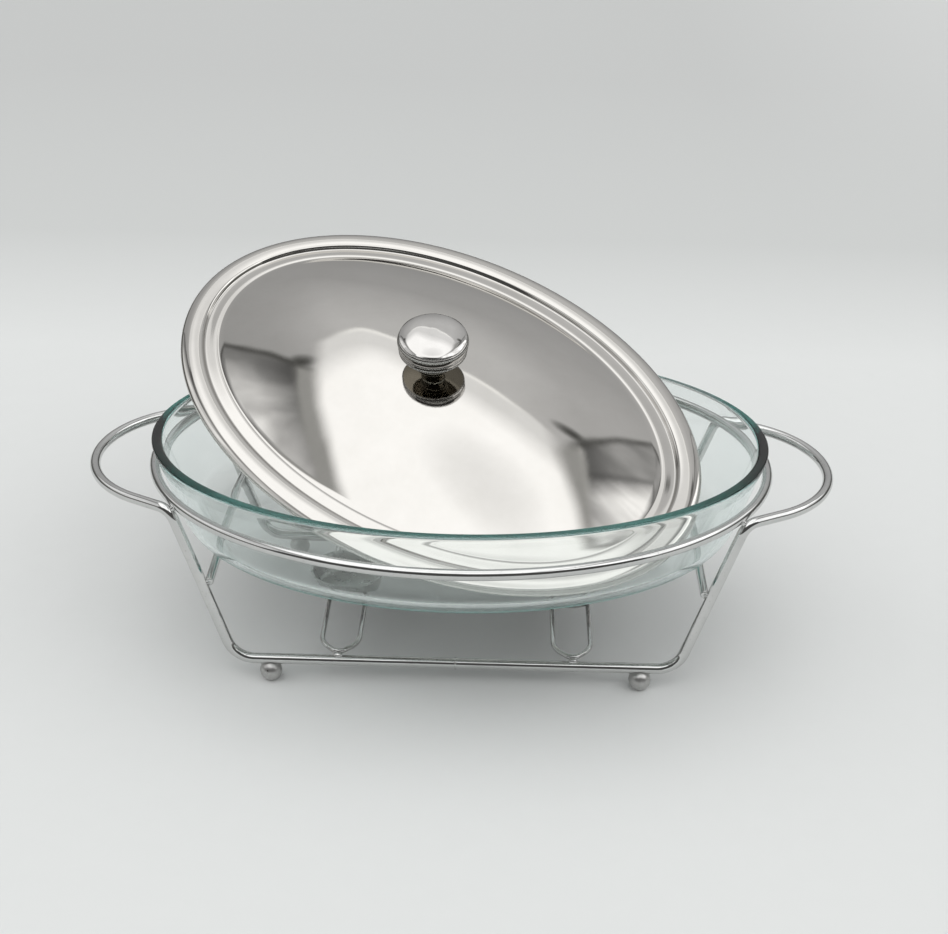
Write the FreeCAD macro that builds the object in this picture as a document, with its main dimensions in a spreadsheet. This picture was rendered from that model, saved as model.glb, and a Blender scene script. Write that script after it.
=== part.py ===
import FreeCAD, Part
import Sketcher
import math
import os
from FreeCAD import Placement, Rotation, Vector

# Oval food warmer: a bent wire rack that carries a glass dish over two candle cups,
# and a loose pressed steel lid that leans in the dish.
# Frame: millimetres, +Z up, +X along the dish, -Y the front. The origin lies on the
# table, under the middle of the rack.

SIZES = [
    ("wire_dia", 6.0, "rack wire, diameter"),
    ("weld_gap", 0.05, "gap left between two welded wires"),
    ("hoop_length", 349.0, "hoop along X, centreline"),
    ("hoop_width", 257.0, "hoop along Y, centreline"),
    ("hoop_rise", 108.5, "hoop centreline above the table"),
    ("handle_drop", 2.5, "handle plane below the hoop's centreline"),
    ("handle_reach", 209.5, "handle tip from the middle, centreline"),
    ("handle_bend", 60.0, "bend radius of the handle's tip"),
    ("shoulder_bend", 9.0, "bend radius from handle to leg"),
    ("heel_bend", 16.0, "bend radius from leg to rail"),
    ("leg_top_spacing", 129.0, "front leg to back leg at the handle"),
    ("rail_spacing", 136.4, "front rail to back rail"),
    ("rail_length", 249.2, "rail between its two virtual corners"),
    ("foot_dia", 12.6, "ball foot, diameter"),
    ("foot_flat_dia", 4.0, "flat ground under the ball foot"),
    ("foot_sink", 1.9, "depth of the rail's saddle in the ball foot"),
    ("foot_spacing", 208.6, "left foot to right foot"),
    ("crossbar_dia", 5.0, "crossbar wire, diameter"),
    ("crossbar_rise", 61.5, "crossbar centreline above the table"),
    ("crossbar_offset", 4.0, "crossbar inward of the leg's centreline"),
    ("loop_wire_dia", 3.0, "candle loop wire, diameter"),
    ("loop_spacing", 132.0, "left candle loop to right candle loop"),
    ("loop_width", 21.3, "candle loop, centreline width"),
    ("loop_inset", 1.3, "loop's end inward of the rail's centreline"),
    ("loop_point", 9.5, "length of the loop's tapered end"),
    ("loop_bend", 9.0, "bend radius at the loop's shoulder"),
    ("cup_dia", 44.0, "candle cup over its lip"),
    ("cup_base_dia", 37.0, "candle cup's flat base"),
    ("cup_depth", 12.0, "candle cup, height"),
    ("cup_sheet", 0.8, "candle cup, sheet thickness"),
    ("cup_corner", 2.5, "candle cup, outer corner radius"),
    ("dish_seat", 0.3, "gap between crossbar and dish"),
    ("dish_length", 350.0, "dish over the rim, along X"),
    ("dish_width", 241.0, "dish over the rim, along Y"),
    ("dish_depth", 60.5, "dish, height"),
    ("dish_base_length", 313.0, "dish wall carried down to the base, along X"),
    ("dish_base_width", 212.0, "dish wall carried down to the base, along Y"),
    ("glass_wall", 6.0, "dish wall thickness"),
    ("glass_floor", 6.0, "dish floor thickness"),
    ("glass_corner", 16.0, "dish, outer radius between floor and wall"),
    ("rim_round", 2.0, "rounding of the dish's rim"),
    ("lid_length", 352.2, "lid over its bead, along its long axis"),
    ("lid_width", 243.0, "lid over its bead, along its short axis"),
    ("lid_rise", 27.0, "lid's crown above its edge"),
    ("lid_sheet", 0.8, "lid sheet thickness"),
    ("bead_width", 11.8, "lid's rolled bead, width"),
    ("bead_crest", 7.0, "crest of the bead, inward of the lid's edge"),
    ("bead_rise", 5.4, "lid's rolled bead, height"),
    ("hem_width", 2.2, "folded hem under the bead's outer edge"),
    ("cove_width", 7.6, "hollow band inside the bead"),
    ("cove_floor", 1.0, "lowest line of the hollow band"),
    ("ridge_rise", 3.7, "ridge between hollow band and dome"),
    ("ridge_width", 2.9, "from the ridge to the dome's edge"),
    ("dome_step", 2.9, "step down from the ridge to the dome's edge"),
    ("lid_tilt", 19.55, "lean of the resting lid"),
    ("lid_heading", -87.0, "compass direction of the lean, from +X"),
    ("lid_turn", -39.5, "turn of the lid about its own axis"),
    ("lid_shift_x", -18.6, "lid's middle from the dish's middle, X"),
    ("lid_shift_y", 45.5, "lid's middle from the dish's middle, Y"),
    ("lid_clear", 0.3, "gap between the resting lid and the glass"),
    ("crown_share", 0.13, "crown flat as a share of the dome"),
    ("knob_dia", 41.4, "knob, widest"),
    ("knob_foot_dia", 39.4, "knob drum at its lower edge"),
    ("knob_drum", 10.1, "height of the knob's drum"),
    ("knob_belly", 7.3, "height of the drum's widest line above its lower edge"),
    ("knob_band", 3.2, "height of the band at the drum's lower edge"),
    ("knob_band_step", 0.5, "step of that band"),
    ("knob_seam_dia", 39.2, "seam between drum and cap"),
    ("knob_cap_rise", 4.2, "height of the knob's cap"),
    ("knob_sheet", 0.8, "knob sheet thickness"),
    ("neck_dia", 14.0, "knob neck, diameter"),
    ("neck_rise", 10.9, "knob neck, height"),
    ("neck_flange_dia", 20.0, "knob neck's flange"),
    ("neck_flange", 1.4, "knob neck's flange, thickness"),
    ("insert_dia", 11.0, "threaded insert in the knob"),
    ("insert_rise", 7.0, "threaded insert, height"),
    ("screw_dia", 5.0, "knob screw"),
    ("screw_reach", 5.0, "length of the screw in the insert"),
    ("screw_head_dia", 9.0, "screw head"),
    ("screw_head", 2.8, "screw head, height"),
    ("screw_slot", 1.2, "screw slot, width"),
    ("thread_play", 0.06, "play between screw and thread"),
    ("hole_play", 0.3, "play between screw and plain hole"),
    ("washer_dia", 14.0, "washer under the lid"),
    ("washer_sheet", 1.2, "washer thickness"),
]

doc = FreeCAD.newDocument("oval_food_warmer")
sheet = doc.addObject("Spreadsheet::Sheet", "Sizes")
for row, (alias, value, meaning) in enumerate(SIZES, start=1):
    sheet.set(f"A{row}", meaning)
    sheet.set(f"B{row}", str(value))
    sheet.setAlias(f"B{row}", alias)
doc.recompute()


def size(alias):
    return float(sheet.get(alias))


# Sub-parts by node name, in the order in which they are made
nodes = {}


def keep(name, obj):
    obj.Label = name
    nodes[name] = obj
    return obj


# Shared values that follow from the sheet

FLAT_DEPTH = size("foot_dia") / 2 - math.sqrt((size("foot_dia") ** 2 - size("foot_flat_dia") ** 2) / 4)
FOOT_CENTRE_Z = size("foot_dia") / 2 - FLAT_DEPTH
RAIL_Z = size("foot_dia") - FLAT_DEPTH - size("foot_sink") + size("wire_dia") / 2
RAIL_Y = size("rail_spacing") / 2
HANDLE_Z = size("hoop_rise") - size("handle_drop")
LOOP_Z = RAIL_Z + (size("wire_dia") + size("loop_wire_dia")) / 2 + size("weld_gap")
CUP_Z = LOOP_Z + size("loop_wire_dia") / 2 + size("weld_gap")
DISH_Z = size("crossbar_rise") + size("crossbar_dia") / 2 + size("dish_seat")
RIM_Z = DISH_Z + size("dish_depth")


# Bent wire: straight runs joined by tangent arcs, swept with a round section

def bent_path(corners, radii, closed=False):
    """Runs through the corners with each one rounded to its radius (0 keeps it sharp)."""
    count = len(corners)
    inner = range(count) if closed else range(1, count - 1)
    entry, leave, edges = {}, {}, []
    for i in range(count):
        entry[i] = leave[i] = corners[i]
    arcs = {}
    for i in inner:
        if radii[i] <= 0:
            continue
        back = (corners[i - 1] - corners[i]).normalize()
        ahead = (corners[(i + 1) % count] - corners[i]).normalize()
        half_turn = (math.pi - back.getAngle(ahead)) / 2
        setback = radii[i] * math.tan(half_turn)
        entry[i] = corners[i] + back * setback
        leave[i] = corners[i] + ahead * setback
        middle = (back + ahead).normalize()
        bulge = radii[i] * (1 / math.cos(half_turn) - 1)
        arcs[i] = Part.Arc(entry[i], corners[i] + middle * bulge, leave[i]).toShape()
    for i in range(count):
        if i in arcs:
            edges.append(arcs[i])
        if closed or i < count - 1:
            edges.append(Part.makeLine(leave[i], entry[(i + 1) % count]))
    return Part.Wire(edges)


def swept_wire(name, path, dia_alias, start, tangent):
    """Part::Sweep of a round section, whose radius follows the sheet, along a path."""
    spine = doc.addObject("Part::Feature", name + "_path")
    spine.Shape = path
    section = doc.addObject("Part::Circle", name + "_section")
    section.setExpression("Radius", f"Sizes.{dia_alias} / 2")
    section.Placement = Placement(start, Rotation(Vector(0, 0, 1), tangent))
    sweep = doc.addObject("Part::Sweep", name)
    sweep.Sections = [section]
    sweep.Spine = (spine, [f"Edge{i + 1}" for i in range(len(path.Edges))])
    sweep.Solid = True
    sweep.Frenet = False
    return sweep


def mirrored(name, source, normal):
    twin = doc.addObject("Part::Mirroring", name)
    twin.Source = source
    twin.Normal = normal
    twin.Base = Vector(0, 0, 0)
    return keep(name, twin)


# Hoop: one wire bent to an oval

hoop_line = doc.addObject("Part::Ellipse", "hoop_line")
hoop_line.setExpression("MajorRadius", "Sizes.hoop_length / 2")
hoop_line.setExpression("MinorRadius", "Sizes.hoop_width / 2")
hoop_line.setExpression("Placement.Base.z", "Sizes.hoop_rise")
hoop_section = doc.addObject("Part::Circle", "hoop_section")
hoop_section.setExpression("Radius", "Sizes.wire_dia / 2")
hoop_section.Placement.Rotation = Rotation(Vector(1, 0, 0), 90)
hoop_section.setExpression("Placement.Base.x", "Sizes.hoop_length / 2")
hoop_section.setExpression("Placement.Base.z", "Sizes.hoop_rise")
hoop = doc.addObject("Part::Sweep", "hoop")
hoop.Sections = [hoop_section]
hoop.Spine = (hoop_line, ["Edge1"])
hoop.Solid = True
keep("hoop", hoop)
doc.recompute()


# Frame wires: each one is half a front rail, a leg, a handle, a leg and half a back rail

def frame_path(shoulder_x):
    """Right-hand frame wire, with the handle's shoulders at the given X."""
    shoulder_y = size("leg_top_spacing") / 2
    bend = size("handle_bend")
    centre_x = size("handle_reach") - bend
    away = math.hypot(centre_x - shoulder_x, shoulder_y)
    to_centre = math.atan2(shoulder_y, centre_x - shoulder_x)
    run_angle = to_centre - math.asin(min(bend / away, 0.999))
    tip_x = shoulder_x + shoulder_y / math.tan(run_angle)
    corner_x = size("rail_length") / 2
    corners = [
        Vector(size("weld_gap") / 2, -RAIL_Y, RAIL_Z),
        Vector(corner_x, -RAIL_Y, RAIL_Z),
        Vector(shoulder_x, -shoulder_y, HANDLE_Z),
        Vector(tip_x, 0, HANDLE_Z),
        Vector(shoulder_x, shoulder_y, HANDLE_Z),
        Vector(corner_x, RAIL_Y, RAIL_Z),
        Vector(size("weld_gap") / 2, RAIL_Y, RAIL_Z),
    ]
    heel, shoulder = size("heel_bend"), size("shoulder_bend")
    return bent_path(corners, [0, heel, shoulder, bend, shoulder, heel, 0])


def touching_shoulder():
    """X of the shoulder where the frame wire just touches the hoop from outside."""
    reach = size("wire_dia") + size("weld_gap")
    low, high = size("rail_length") / 2, size("handle_reach") - size("wire_dia")
    outline = hoop_line.Shape
    for _ in range(30):
        middle = (low + high) / 2
        shoulder_inside = (middle / (size("hoop_length") / 2)) ** 2 + (
            size("leg_top_spacing") / size("hoop_width")) ** 2 < 1
        if shoulder_inside or frame_path(middle).distToShape(outline)[0] < reach:
            low = middle
        else:
            high = middle
    return high


SHOULDER_X = touching_shoulder()
right_path = frame_path(SHOULDER_X)
frame_right = keep("frame_wire_right", swept_wire(
    "frame_wire_right", right_path, "wire_dia",
    Vector(size("weld_gap") / 2, -RAIL_Y, RAIL_Z), Vector(1, 0, 0)))
mirrored("frame_wire_left", frame_right, Vector(1, 0, 0))


# Bodies made from sketches

def attach(sketch, body, role):
    plane = [f for f in body.Origin.OriginFeatures if f.Role == role][0]
    sketch.AttachmentSupport = (plane, [""])
    sketch.MapMode = "FlatFace"


def outline_sketch(body, name, role, points):
    """Closed polygon whose corners are bound, point by point, to expressions (x, y)."""
    sketch = body.newObject("Sketcher::SketchObject", name)
    attach(sketch, body, role)
    count = len(points)
    guess = [Vector(5 + 4 * math.cos(2 * math.pi * i / count), 4 * math.sin(2 * math.pi * i / count), 0)
             for i in range(count)]
    for i in range(count):
        sketch.addGeometry(Part.LineSegment(guess[i], guess[(i + 1) % count]), False)
    for i in range(count):
        sketch.addConstraint(Sketcher.Constraint("Coincident", i, 2, (i + 1) % count, 1))
    for i, (x, y) in enumerate(points):
        for kind, formula in (("DistanceX", x), ("DistanceY", y)):
            index = sketch.addConstraint(Sketcher.Constraint(kind, -1, 1, i, 1, 1.0))
            sketch.setExpression(f"Constraints[{index}]", formula)
    return sketch


def turned(name, points):
    """PartDesign body: a half section in the XZ plane turned about Z."""
    body = doc.addObject("PartDesign::Body", name)
    sketch = outline_sketch(body, name + "_section", "XZ_Plane", points)
    turn = body.newObject("PartDesign::Revolution", name + "_turn")
    turn.Profile = sketch
    turn.ReferenceAxis = (sketch, ["V_Axis"])
    turn.Angle = 360
    sketch.Visibility = False
    doc.recompute()
    return body


def edges_at(shape, radius, z, tolerance=0.01):
    """Names of the round edges with this radius at this height."""
    found = []
    for number, edge in enumerate(shape.Edges, start=1):
        curve = edge.Curve
        if isinstance(curve, Part.Circle) and abs(curve.Radius - radius) < tolerance:
            if abs(curve.Center.z - z) < tolerance:
                found.append(f"Edge{number}")
    return found


# Crossbars: straight wires under the dish, sunk at each end into the inner side of a leg

def leg_centre(side, depth, z):
    """Middle of a leg at a height, on its straight run from rail to handle."""
    climb = (z - RAIL_Z) / (HANDLE_Z - RAIL_Z)
    x = size("rail_length") / 2 + climb * (SHOULDER_X - size("rail_length") / 2)
    y = RAIL_Y + climb * (size("leg_top_spacing") / 2 - RAIL_Y)
    return Vector(side * x, depth * y, z)


def crossbar(side):
    name = "crossbar_" + ("right" if side > 0 else "left")
    level = size("crossbar_rise")
    front = leg_centre(side, -1, level)
    bar = doc.addObject("Part::Cylinder", name + "_bar")
    bar.setExpression("Radius", "Sizes.crossbar_dia / 2")
    bar.Height = -2 * front.y
    bar.Placement = Placement(
        Vector(front.x - side * size("crossbar_offset"), front.y, level), Rotation(Vector(1, 0, 0), -90))
    for depth in (-1, 1):
        foot, head = leg_centre(side, depth, RAIL_Z), leg_centre(side, depth, HANDLE_Z)
        cope = doc.addObject("Part::Cylinder", f"{name}_cope_{'back' if depth > 0 else 'front'}")
        cope.setExpression("Radius", "Sizes.wire_dia / 2 + Sizes.weld_gap")
        cope.Height = head.distanceToPoint(foot)
        cope.Placement = Placement(foot, Rotation(Vector(0, 0, 1), head - foot))
        cut = doc.addObject("Part::Cut", name if depth > 0 else name + "_front_coped")
        cut.Base = bar
        cut.Tool = cope
        bar = cut
    keep(name, bar)


for side in (-1, 1):
    crossbar(side)


# Ball feet: a ball with a ground flat below and a saddle that holds the rail above

def ball_foot(side, depth):
    name = f"foot_{'back' if depth > 0 else 'front'}_{'right' if side > 0 else 'left'}"
    ball = doc.addObject("Part::Sphere", name + "_ball")
    ball.setExpression("Radius", "Sizes.foot_dia / 2")
    ball.setExpression("Angle1", "-acos(Sizes.foot_flat_dia / Sizes.foot_dia)")
    saddle = doc.addObject("Part::Cylinder", name + "_saddle")
    saddle.setExpression("Radius", "Sizes.wire_dia / 2 + Sizes.weld_gap")
    saddle.setExpression("Height", "Sizes.foot_dia * 2")
    saddle.Placement = Placement(
        Vector(-size("foot_dia"), 0, RAIL_Z - FOOT_CENTRE_Z), Rotation(Vector(0, 1, 0), 90))
    foot = doc.addObject("Part::Cut", name)
    foot.Base = ball
    foot.Tool = saddle
    foot.Placement = Placement(
        Vector(side * size("foot_spacing") / 2, depth * RAIL_Y, FOOT_CENTRE_Z), Rotation())
    keep(name, foot)


for depth in (-1, 1):
    for side in (-1, 1):
        ball_foot(side, depth)


# Candle loops: thin wires bent to long rings with tapered ends, lying across both rails

def candle_loop():
    x_mid = size("loop_spacing") / 2
    half = size("loop_width") / 2
    end_y = RAIL_Y - size("loop_inset")
    arm_y = end_y - size("loop_point")
    outline = [(0, -end_y), (half, -arm_y), (half, arm_y), (0, end_y), (-half, arm_y), (-half, -arm_y)]
    start = Vector(x_mid + half, 0, LOOP_Z)
    corners = [start] + [Vector(x_mid + x, y, LOOP_Z) for x, y in outline[2:] + outline[:2]]
    bend, tip = size("loop_bend"), size("loop_wire_dia")
    path = bent_path(corners, [0, bend, tip, bend, bend, tip, bend], closed=True)
    return swept_wire("candle_loop_right", path, "loop_wire_dia", start, Vector(0, 1, 0))


loop_right = keep("candle_loop_right", candle_loop())
mirrored("candle_loop_left", loop_right, Vector(1, 0, 0))


# Candle cups: shallow pressed cups with a flat base, a flared wall and a turned-out lip

def candle_cup(side):
    name = "candle_cup_" + ("right" if side > 0 else "left")
    body = turned(name, [
        ("0", "0"),
        ("Sizes.cup_base_dia / 2", "0"),
        ("Sizes.cup_dia / 2 - 2 * Sizes.cup_sheet", "Sizes.cup_depth - Sizes.cup_sheet"),
        ("Sizes.cup_dia / 2", "Sizes.cup_depth - Sizes.cup_sheet"),
        ("Sizes.cup_dia / 2", "Sizes.cup_depth"),
        ("Sizes.cup_dia / 2 - 3 * Sizes.cup_sheet", "Sizes.cup_depth"),
        ("Sizes.cup_base_dia / 2 - Sizes.cup_sheet", "Sizes.cup_sheet"),
        ("0", "Sizes.cup_sheet"),
    ])
    turn = body.Tip
    corner = body.newObject("PartDesign::Fillet", name + "_corner")
    corner.Base = (turn, edges_at(turn.Shape, size("cup_base_dia") / 2, 0))
    corner.setExpression("Radius", "Sizes.cup_corner")
    doc.recompute()
    inner = body.newObject("PartDesign::Fillet", name + "_inner_corner")
    inner.Base = (corner, edges_at(corner.Shape, size("cup_base_dia") / 2 - size("cup_sheet"), size("cup_sheet")))
    inner.setExpression("Radius", "Sizes.cup_corner - Sizes.cup_sheet")
    body.Placement = Placement(Vector(side * size("loop_spacing") / 2, 0, CUP_Z), Rotation())
    keep(name, body)


for side in (-1, 1):
    candle_cup(side)


# Oval shells: lofts through ellipses, each one bound to the sheet by expressions

def oval_loft(name, sections, ruled=False):
    """Solid through ellipses given as expressions (half length, half width, height)."""
    rings = []
    for number, (half_length, half_width, height) in enumerate(sections):
        ring = doc.addObject("Part::Ellipse", f"{name}_ring{number}")
        ring.setExpression("MajorRadius", half_length)
        ring.setExpression("MinorRadius", half_width)
        ring.setExpression("Placement.Base.z", height)
        ring.Visibility = False
        rings.append(ring)
    loft = doc.addObject("Part::Loft", name)
    loft.Sections = rings
    loft.Solid = True
    loft.Ruled = ruled
    return loft


# Glass dish: a tapered oval bowl with a round lower corner and a ground, rounded rim

def dish_wall(name, wall, floor, top):
    """Straight tapered solid inside the dish's outline by wall, from floor to top."""
    rings = []
    for height in (floor, top):
        axes = []
        for way in ("length", "width"):
            slope = f"(Sizes.dish_{way} - Sizes.dish_base_{way}) / Sizes.dish_depth"
            axes.append(f"(Sizes.dish_base_{way} + {slope} * ({height})) / 2 - {wall}")
        rings.append((axes[0], axes[1], height))
    return oval_loft(name, rings, ruled=True)


def rounded(name, source, heights, radius_alias, within=1e6, play=0.0):
    """Part::Fillet on the level edges of a shape at a height, out to a given X."""
    doc.recompute()
    fillet = doc.addObject("Part::Fillet", name)
    fillet.Base = source
    radius = size(radius_alias) - play
    chosen = [n for n, e in enumerate(source.Shape.Edges, start=1)
              if e.BoundBox.ZLength < 0.01 and abs(e.BoundBox.ZMax - heights) < 0.01
              and e.BoundBox.XMax < within]
    fillet.Edges = [(n, radius, radius) for n in chosen]
    return fillet


def dish_half_axis(way, height):
    """Half length or half width of the dish's inside at a height above its base."""
    base, top = size("dish_base_" + way), size("dish_" + way)
    half = (base + (top - base) * height / size("dish_depth")) / 2 - size("glass_wall")
    corner = size("glass_corner") - size("glass_wall")
    above_floor = max(height - size("glass_floor"), 0)
    if above_floor < corner:
        half -= corner - math.sqrt(corner ** 2 - (corner - above_floor) ** 2)
    return half


dish_block = dish_wall("dish_block", "0", "0", "Sizes.dish_depth")
dish_foot = rounded("dish_foot", dish_block, 0.0, "glass_corner")
dish_outer = rounded("dish_outer", dish_foot, size("dish_depth"), "rim_round")
dish_core = dish_wall("dish_core", "Sizes.glass_wall", "Sizes.glass_floor", "Sizes.dish_depth + Sizes.rim_round")
dish_inner = rounded("dish_inner", dish_core, size("glass_floor"), "glass_corner", play=size("glass_wall"))
dish_blank = doc.addObject("Part::Cut", "dish_blank")
dish_blank.Base = dish_outer
dish_blank.Tool = dish_inner
glass_dish = rounded("glass_dish", dish_blank, size("dish_depth"), "rim_round",
                     within=size("dish_length") / 2 - size("glass_wall") + 0.01)
glass_dish.Placement = Placement(Vector(0, 0, DISH_Z), Rotation())
keep("glass_dish", glass_dish)


# Lid shell: pressed sheet with a hemmed, rolled bead, a hollow band, a ridge and a dome

def brim_profile():
    """Outer profile of the brim as (distance in from the edge, height above the edge)."""
    width, crest, rise = size("bead_width"), size("bead_crest"), size("bead_rise")
    floor, ridge = size("cove_floor"), size("bead_width") + size("cove_width")
    points = [(0.25, 0.0), (0.0, 0.15 * rise)]
    for share in (0.12, 0.3, 0.55, 1.0):
        points.append((share * crest, rise * math.sqrt(1 - (1 - share) ** 2)))
    for share in (0.35, 0.7, 1.0):
        fall = (1 - math.cos(math.pi * share)) / 2
        points.append((crest + share * (width - crest), rise - (rise - floor) * fall))
    for share in (0.45, 0.8, 1.0):
        climb = (size("ridge_rise") - floor) * share ** 2
        points.append((width + share * size("cove_width"), floor + climb))
    points.append((ridge + 0.35 * size("ridge_width"), size("ridge_rise") - 0.15 * size("dome_step")))
    points.append((ridge + size("ridge_width"), size("ridge_rise") - size("dome_step")))
    return points


def sheet_underside(points):
    """The same profile moved inward by the sheet thickness, straight up the folded hem."""
    moved = [(size("hem_width"), -2.0), (size("hem_width"), points[4][1] - size("lid_sheet") - 1.5)]
    for i in range(4, len(points)):
        before, after = points[i - 1], points[min(i + 1, len(points) - 1)]
        run, climb = after[0] - before[0], after[1] - before[1]
        along = math.hypot(run, climb)
        moved.append((points[i][0] + size("lid_sheet") * climb / along,
                      points[i][1] - size("lid_sheet") * run / along))
    return moved


def lid_solid(name, brim, top):
    """Solid under a brim profile and a dome that rises out of it to the crown."""
    def ring(share, inset, rise):
        return (f"{share} * (Sizes.lid_length / 2 - {inset:.4f})",
                f"{share} * (Sizes.lid_width / 2 - {inset:.4f})", f"{rise:.4f}")

    inset, start = brim[-1]
    crown = size("crown_share")
    dome = [(share, start + (top - start) * (1 - share ** 2) / (1 - crown ** 2))
            for share in (1.0, 0.85, 0.65, 0.4, crown)]
    solid = doc.addObject("Part::Fuse", name)
    solid.Base = oval_loft(name + "_brim", [ring(1, x, z) for x, z in brim], ruled=True)
    solid.Tool = oval_loft(name + "_dome", [ring(share, inset, z) for share, z in dome])
    return solid


brim = brim_profile()
lid_blank = doc.addObject("Part::Cut", "lid_blank")
lid_blank.Base = lid_solid("lid_outer", brim, size("lid_rise"))
lid_blank.Tool = lid_solid("lid_inner", sheet_underside(brim), size("lid_rise") - size("lid_sheet"))
lid_hole = doc.addObject("Part::Cylinder", "lid_hole")
lid_hole.setExpression("Radius", "Sizes.screw_dia / 2 + Sizes.hole_play")
lid_hole.setExpression("Height", "Sizes.lid_rise * 2")
lid_shell = doc.addObject("Part::Cut", "lid_shell")
lid_shell.Base = lid_blank
lid_shell.Tool = lid_hole
keep("lid_shell", lid_shell)


# Knob: neck, drum and cap pressed from sheet, a threaded insert, a screw and a washer

NECK_TOP = "Sizes.neck_rise"
BORE = "Sizes.screw_dia / 2 + Sizes.hole_play"
keep("knob_neck", turned("knob_neck", [
    (BORE, "0"),
    ("Sizes.neck_flange_dia / 2", "0"),
    ("Sizes.neck_flange_dia / 2", "Sizes.neck_flange / 2"),
    ("Sizes.neck_dia / 2", "Sizes.neck_flange * 2"),
    ("Sizes.neck_dia / 2", NECK_TOP),
    (BORE, NECK_TOP),
]))
DRUM_TOP = "Sizes.neck_rise + Sizes.knob_drum"
BAND_TOP = "Sizes.neck_rise + Sizes.knob_band"
BELLY = "Sizes.neck_rise + Sizes.knob_belly"
keep("knob_drum", turned("knob_drum", [
    (BORE, NECK_TOP),
    ("Sizes.knob_foot_dia / 2", NECK_TOP),
    ("Sizes.knob_foot_dia / 2 + Sizes.knob_band_step / 2", BAND_TOP),
    ("Sizes.knob_foot_dia / 2 + Sizes.knob_band_step", f"{BAND_TOP} + Sizes.knob_band_step"),
    ("Sizes.knob_dia / 2", BELLY),
    ("Sizes.knob_seam_dia / 2", DRUM_TOP),
    ("Sizes.knob_seam_dia / 2 - Sizes.knob_sheet", DRUM_TOP),
    ("Sizes.knob_dia / 2 - Sizes.knob_sheet", BELLY),
    ("Sizes.knob_foot_dia / 2 - Sizes.knob_sheet", "Sizes.neck_rise + Sizes.knob_sheet"),
    (BORE, "Sizes.neck_rise + Sizes.knob_sheet"),
]))


def cap_points(radius, rise, base, steps=9):
    """Quarter oval from the rim up to the axis, as expressions."""
    points = []
    for step in range(steps + 1):
        angle = math.pi / 2 * step / steps
        points.append((f"{math.cos(angle):.5f} * ({radius})", f"{base} + {math.sin(angle):.5f} * ({rise})"))
    points[-1] = ("0", points[-1][1])
    return points


cap_outer = cap_points("Sizes.knob_seam_dia / 2", "Sizes.knob_cap_rise", DRUM_TOP)
cap_inner = cap_points(
    "Sizes.knob_seam_dia / 2 - Sizes.knob_sheet", "Sizes.knob_cap_rise - Sizes.knob_sheet", DRUM_TOP)
keep("knob_cap", turned("knob_cap", cap_outer + cap_inner[::-1]))

INSERT_BASE = "Sizes.neck_rise + Sizes.knob_sheet"
THREAD = "Sizes.screw_dia / 2 + Sizes.thread_play"
keep("knob_insert", turned("knob_insert", [
    (THREAD, INSERT_BASE),
    ("Sizes.insert_dia / 2", INSERT_BASE),
    ("Sizes.insert_dia / 2", f"{INSERT_BASE} + Sizes.insert_rise"),
    (THREAD, f"{INSERT_BASE} + Sizes.insert_rise"),
]))
WASHER_TOP = "-Sizes.lid_sheet"
WASHER_BASE = "-Sizes.lid_sheet - Sizes.washer_sheet"
keep("knob_washer", turned("knob_washer", [
    (BORE, WASHER_BASE),
    ("Sizes.washer_dia / 2", WASHER_BASE),
    ("Sizes.washer_dia / 2", WASHER_TOP),
    (BORE, WASHER_TOP),
]))
HEAD_BASE = f"{WASHER_BASE} - Sizes.screw_head"
knob_screw = turned("knob_screw", [
    ("0", HEAD_BASE),
    ("Sizes.screw_head_dia / 3", HEAD_BASE),
    ("Sizes.screw_head_dia / 2", f"{WASHER_BASE} - Sizes.screw_head / 2"),
    ("Sizes.screw_head_dia / 2", WASHER_BASE),
    ("Sizes.screw_dia / 2", WASHER_BASE),
    ("Sizes.screw_dia / 2", f"{INSERT_BASE} + Sizes.screw_reach"),
    ("0", f"{INSERT_BASE} + Sizes.screw_reach"),
])
slot = outline_sketch(knob_screw, "knob_screw_slot_outline", "XZ_Plane", [
    ("-Sizes.screw_slot / 2", f"{HEAD_BASE} - 1"),
    ("Sizes.screw_slot / 2", f"{HEAD_BASE} - 1"),
    ("Sizes.screw_slot / 2", f"{WASHER_BASE} - Sizes.screw_head / 2"),
    ("-Sizes.screw_slot / 2", f"{WASHER_BASE} - Sizes.screw_head / 2"),
])
slot_cut = knob_screw.newObject("PartDesign::Pocket", "knob_screw_slot")
slot_cut.Profile = slot
slot_cut.Type = "Length"
slot_cut.Midplane = True
slot_cut.setExpression("Length", "Sizes.screw_head_dia * 2")
slot.Visibility = False
keep("knob_screw", knob_screw)


# Resting lid: leaned and turned, then lowered until its bead meets the glass

lean = math.radians(size("lid_heading"))
lid_turn = Rotation(Vector(-math.sin(lean), math.cos(lean), 0), size("lid_tilt")).multiply(
    Rotation(Vector(0, 0, 1), size("lid_turn")))


def lip_points():
    """Points round the lid's edge, its hem and the lower half of its bead, turned as the lid lies."""
    points = []
    for inset, rise in brim[:4] + [(size("hem_width"), 0.0)]:
        for step in range(480):
            angle = 2 * math.pi * step / 480
            points.append(lid_turn.multVec(Vector(
                (size("lid_length") / 2 - inset) * math.cos(angle),
                (size("lid_width") / 2 - inset) * math.sin(angle), rise)))
    return points


def glass_gap(x, y, height):
    """Gap from a point over the dish's floor to its inner wall or its rounded rim."""
    def inward(level):
        half_x, half_y = dish_half_axis("length", level), dish_half_axis("width", level)
        reach = math.hypot(x / half_x, y / half_y)
        return (1 - reach) * reach / math.hypot(x / half_x ** 2, y / half_y ** 2)

    top, rim = size("dish_depth"), size("rim_round")
    lean_out = math.atan((inward(top) - inward(top - rim)) / rim)
    across = inward(top) + rim * math.tan(math.pi / 4 - lean_out / 2)
    over = height - top + rim
    if over < across * math.tan(lean_out):
        return inward(height) * math.cos(lean_out)
    return over - rim if across < 0 else math.hypot(across, over) - rim


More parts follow.
